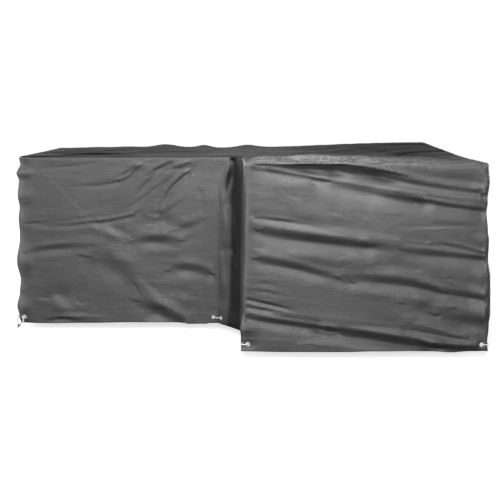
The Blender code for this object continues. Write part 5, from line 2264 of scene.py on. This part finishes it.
@dataclass
class Studio:
    """Pale floor, soft lights and the camera."""

    lens: float = 71.83
    eye: tuple[float, float, float] = (0.0452, -4.332, 0.19)
    pitch: float = math.radians(7.985)
    ambient: float = 0.02
    glow: float = 0.72
    floor_size: float = 60.0
    lights: tuple[Softbox, ...] = (
        Softbox("front_fill", (0.0, -4.89, 1.04), 2.5, 143.0),
        Softbox("key_right", (0.5, -1.42, 1.1), 0.9, 21.0),
        Softbox("key_left", (-0.6, -1.6, 1.4), 1.0, 15.0),
        Softbox("back_near", (0.2, 1.8, 0.8), 1.0, 1.2),
        Softbox("back_fill", (-3.2, 4.0, 0.5), 2.0, 170.0),
        Softbox("right_fill", (4.6, 2.4, 0.4), 2.0, 150.0),
        Softbox("left_fill", (-5.0, 0.6, 0.7), 2.0, 60.0),
        Softbox("left_front", (-3.2, -2.0, 0.4), 1.4, 27.0),
    )

    def camera(self) -> None:
        """Sets the camera at the photograph's angle."""
        data = bpy.data.cameras.new("camera")
        data.lens = self.lens
        data.sensor_width = 36.0
        data.clip_end = 200.0
        obj = bpy.data.objects.new("camera", data)
        obj.location = self.eye
        obj.rotation_euler = (math.pi / 2 - self.pitch, 0.0, 0.0)
        bpy.context.scene.collection.objects.link(obj)
        bpy.context.scene.camera = obj

    def world(self) -> None:
        """Sets a white backdrop that throws only a little light."""
        world = bpy.data.worlds.new("studio")
        world.use_nodes = True
        tree = world.node_tree
        tree.nodes.clear()
        path, strength = tree.nodes.new("ShaderNodeLightPath"), tree.nodes.new("ShaderNodeMapRange")
        strength.inputs["To Min"].default_value = self.ambient
        strength.inputs["To Max"].default_value = 1.0
        backdrop, output = tree.nodes.new("ShaderNodeBackground"), tree.nodes.new("ShaderNodeOutputWorld")
        backdrop.inputs["Color"].default_value = (1.0, 1.0, 1.0, 1.0)
        tree.links.new(path.outputs["Is Camera Ray"], strength.inputs["Value"])
        tree.links.new(strength.outputs["Result"], backdrop.inputs["Strength"])
        tree.links.new(backdrop.outputs["Background"], output.inputs["Surface"])
        bpy.context.scene.world = world

    def floor(self) -> None:
        """Lays the floor, which takes a soft shadow and throws no light back up."""
        signs = ((-1, -1), (1, -1), (1, 1), (-1, 1))
        size = self.floor_size
        points = np.array([(across * size, deep * size, FLOOR) for across, deep in signs])
        obj = mesh_object("floor", points, np.array([[0, 1, 2, 3]]))
        nodes = NodeTree("pale_floor")
        far = nodes.add("VectorMath", operation="LENGTH")
        nodes.link(nodes.add("TexCoord").outputs["Object"], far.inputs[0])
        shader = nodes.shader(Roughness=0.9, Specular_IOR_Level=0.1)
        whiter = nodes.ranged(far.outputs["Value"], 1.6, 4.5, self.glow, 1.0)
        nodes.link(whiter, shader.inputs["Emission Strength"])
        shader.inputs["Base Color"].default_value = (0.6, 0.6, 0.6, 1.0)
        shader.inputs["Emission Color"].default_value = (1.0, 1.0, 1.0, 1.0)
        obj.data.materials.append(nodes.material)
        obj.visible_diffuse = False
        obj.visible_glossy = False

    def build(self) -> None:
        """Sets up the whole studio."""
        self.camera()
        self.world()
        self.floor()
        for light in self.lights:
            light.build()
        bpy.context.scene.view_settings.view_transform = "Standard"


def panels() -> list[Wall]:
    """The six walls, anticlockwise from the front.

    Returns:
        The walls, their eyelets found.
    """
    front_length = RIGHT_X - ARM_FRONT_X - ROUNDING
    inner_front_length = CORNER_PLACES[Corner.INSIDE][0] - LEFT_X - ROUNDING / 2
    walls = [
        # The front has painted highlight lines and a painted highlight on its arm-left upright edge.
        Wall(
            "front", Corner.ARM_LEFT, Corner.ARM_RIGHT, front_length, FRONT_FOLDS, FRONT_HEM, lean=0.13,
            step=0.005, bands=FRONT_BANDS, fold_share=0.34, highlight_lines=FRONT_HIGHLIGHT_LINES, painted_highlight={Corner.ARM_LEFT: 0.010},
        ),
        Wall(
            "right_side", Corner.ARM_RIGHT, Corner.BACK_RIGHT, SHORT_SIDE - ROUNDING, RIGHT_SIDE_FOLDS,
            RIGHT_SIDE_HEM, lean=0.05, step=0.007,
        ),
        Wall(
            "back", Corner.BACK_RIGHT, Corner.BACK_LEFT, LONG_SIDE - ROUNDING, BACK_FOLDS, BACK_HEM, lean=0.0,
            step=0.008,
        ),
        Wall(
            "left_end", Corner.BACK_LEFT, Corner.LEFT_FRONT, BACK_Y - INNER_Y - ROUNDING, LEFT_END_FOLDS,
            LEFT_END_HEM, lean=-0.05, step=0.006,
        ),
        # The inner front has painted highlight lines and a painted highlight on its left-front upright edge.
        Wall(
            "inner_front", Corner.LEFT_FRONT, Corner.INSIDE, inner_front_length, INNER_FRONT_FOLDS,
            INNER_FRONT_HEM, lean=0.0, step=0.005, bands=INNER_FRONT_BANDS, fold_share=0.2,
            highlight_lines=INNER_FRONT_HIGHLIGHT_LINES, painted_highlight={Corner.LEFT_FRONT: 0.019},
        ),
        InnerSide(
            "inner_side", Corner.INSIDE, Corner.ARM_LEFT, INNER_SIDE_LENGTH, INNER_SIDE_FOLDS, INNER_SIDE_HEM,
            lean=0.05, step=0.0055, fold_share=0.8,
        ),
    ]
    offset = 0.0
    for wall in walls:
        wall.offset = offset
        wall.find_eyelets()
        offset += wall.length
    return walls


def main() -> None:
    """Builds the cover and its studio."""
    logging.basicConfig(level=logging.INFO, format="%(name)s: %(message)s")
    Studio().build()
    walls = panels()
    cloth, braid = CoatedCloth(), BraidedCord()
    dull_cloth = CoatedCloth("coated_cloth_dull", smoothest=0.62, roughest=0.8, gloss=0.15)
    cords = Cords()
    cords.build(walls, braid)
    first, last = (Vector(free[2]) for free in (cords.left_front_free, cords.left_end_free))
    run = Vector(cords.left_front_free[3]) - Vector(cords.left_front_free[1])
    Binding().build(run, last - first)
    Eyelets().build(walls)
    cloths = {wall.name: wall.build(cloth) for wall in walls}
    top = Top(walls).build(dull_cloth)
    stitches = Stitching().build(walls)


if __name__ == "__main__":
    main()
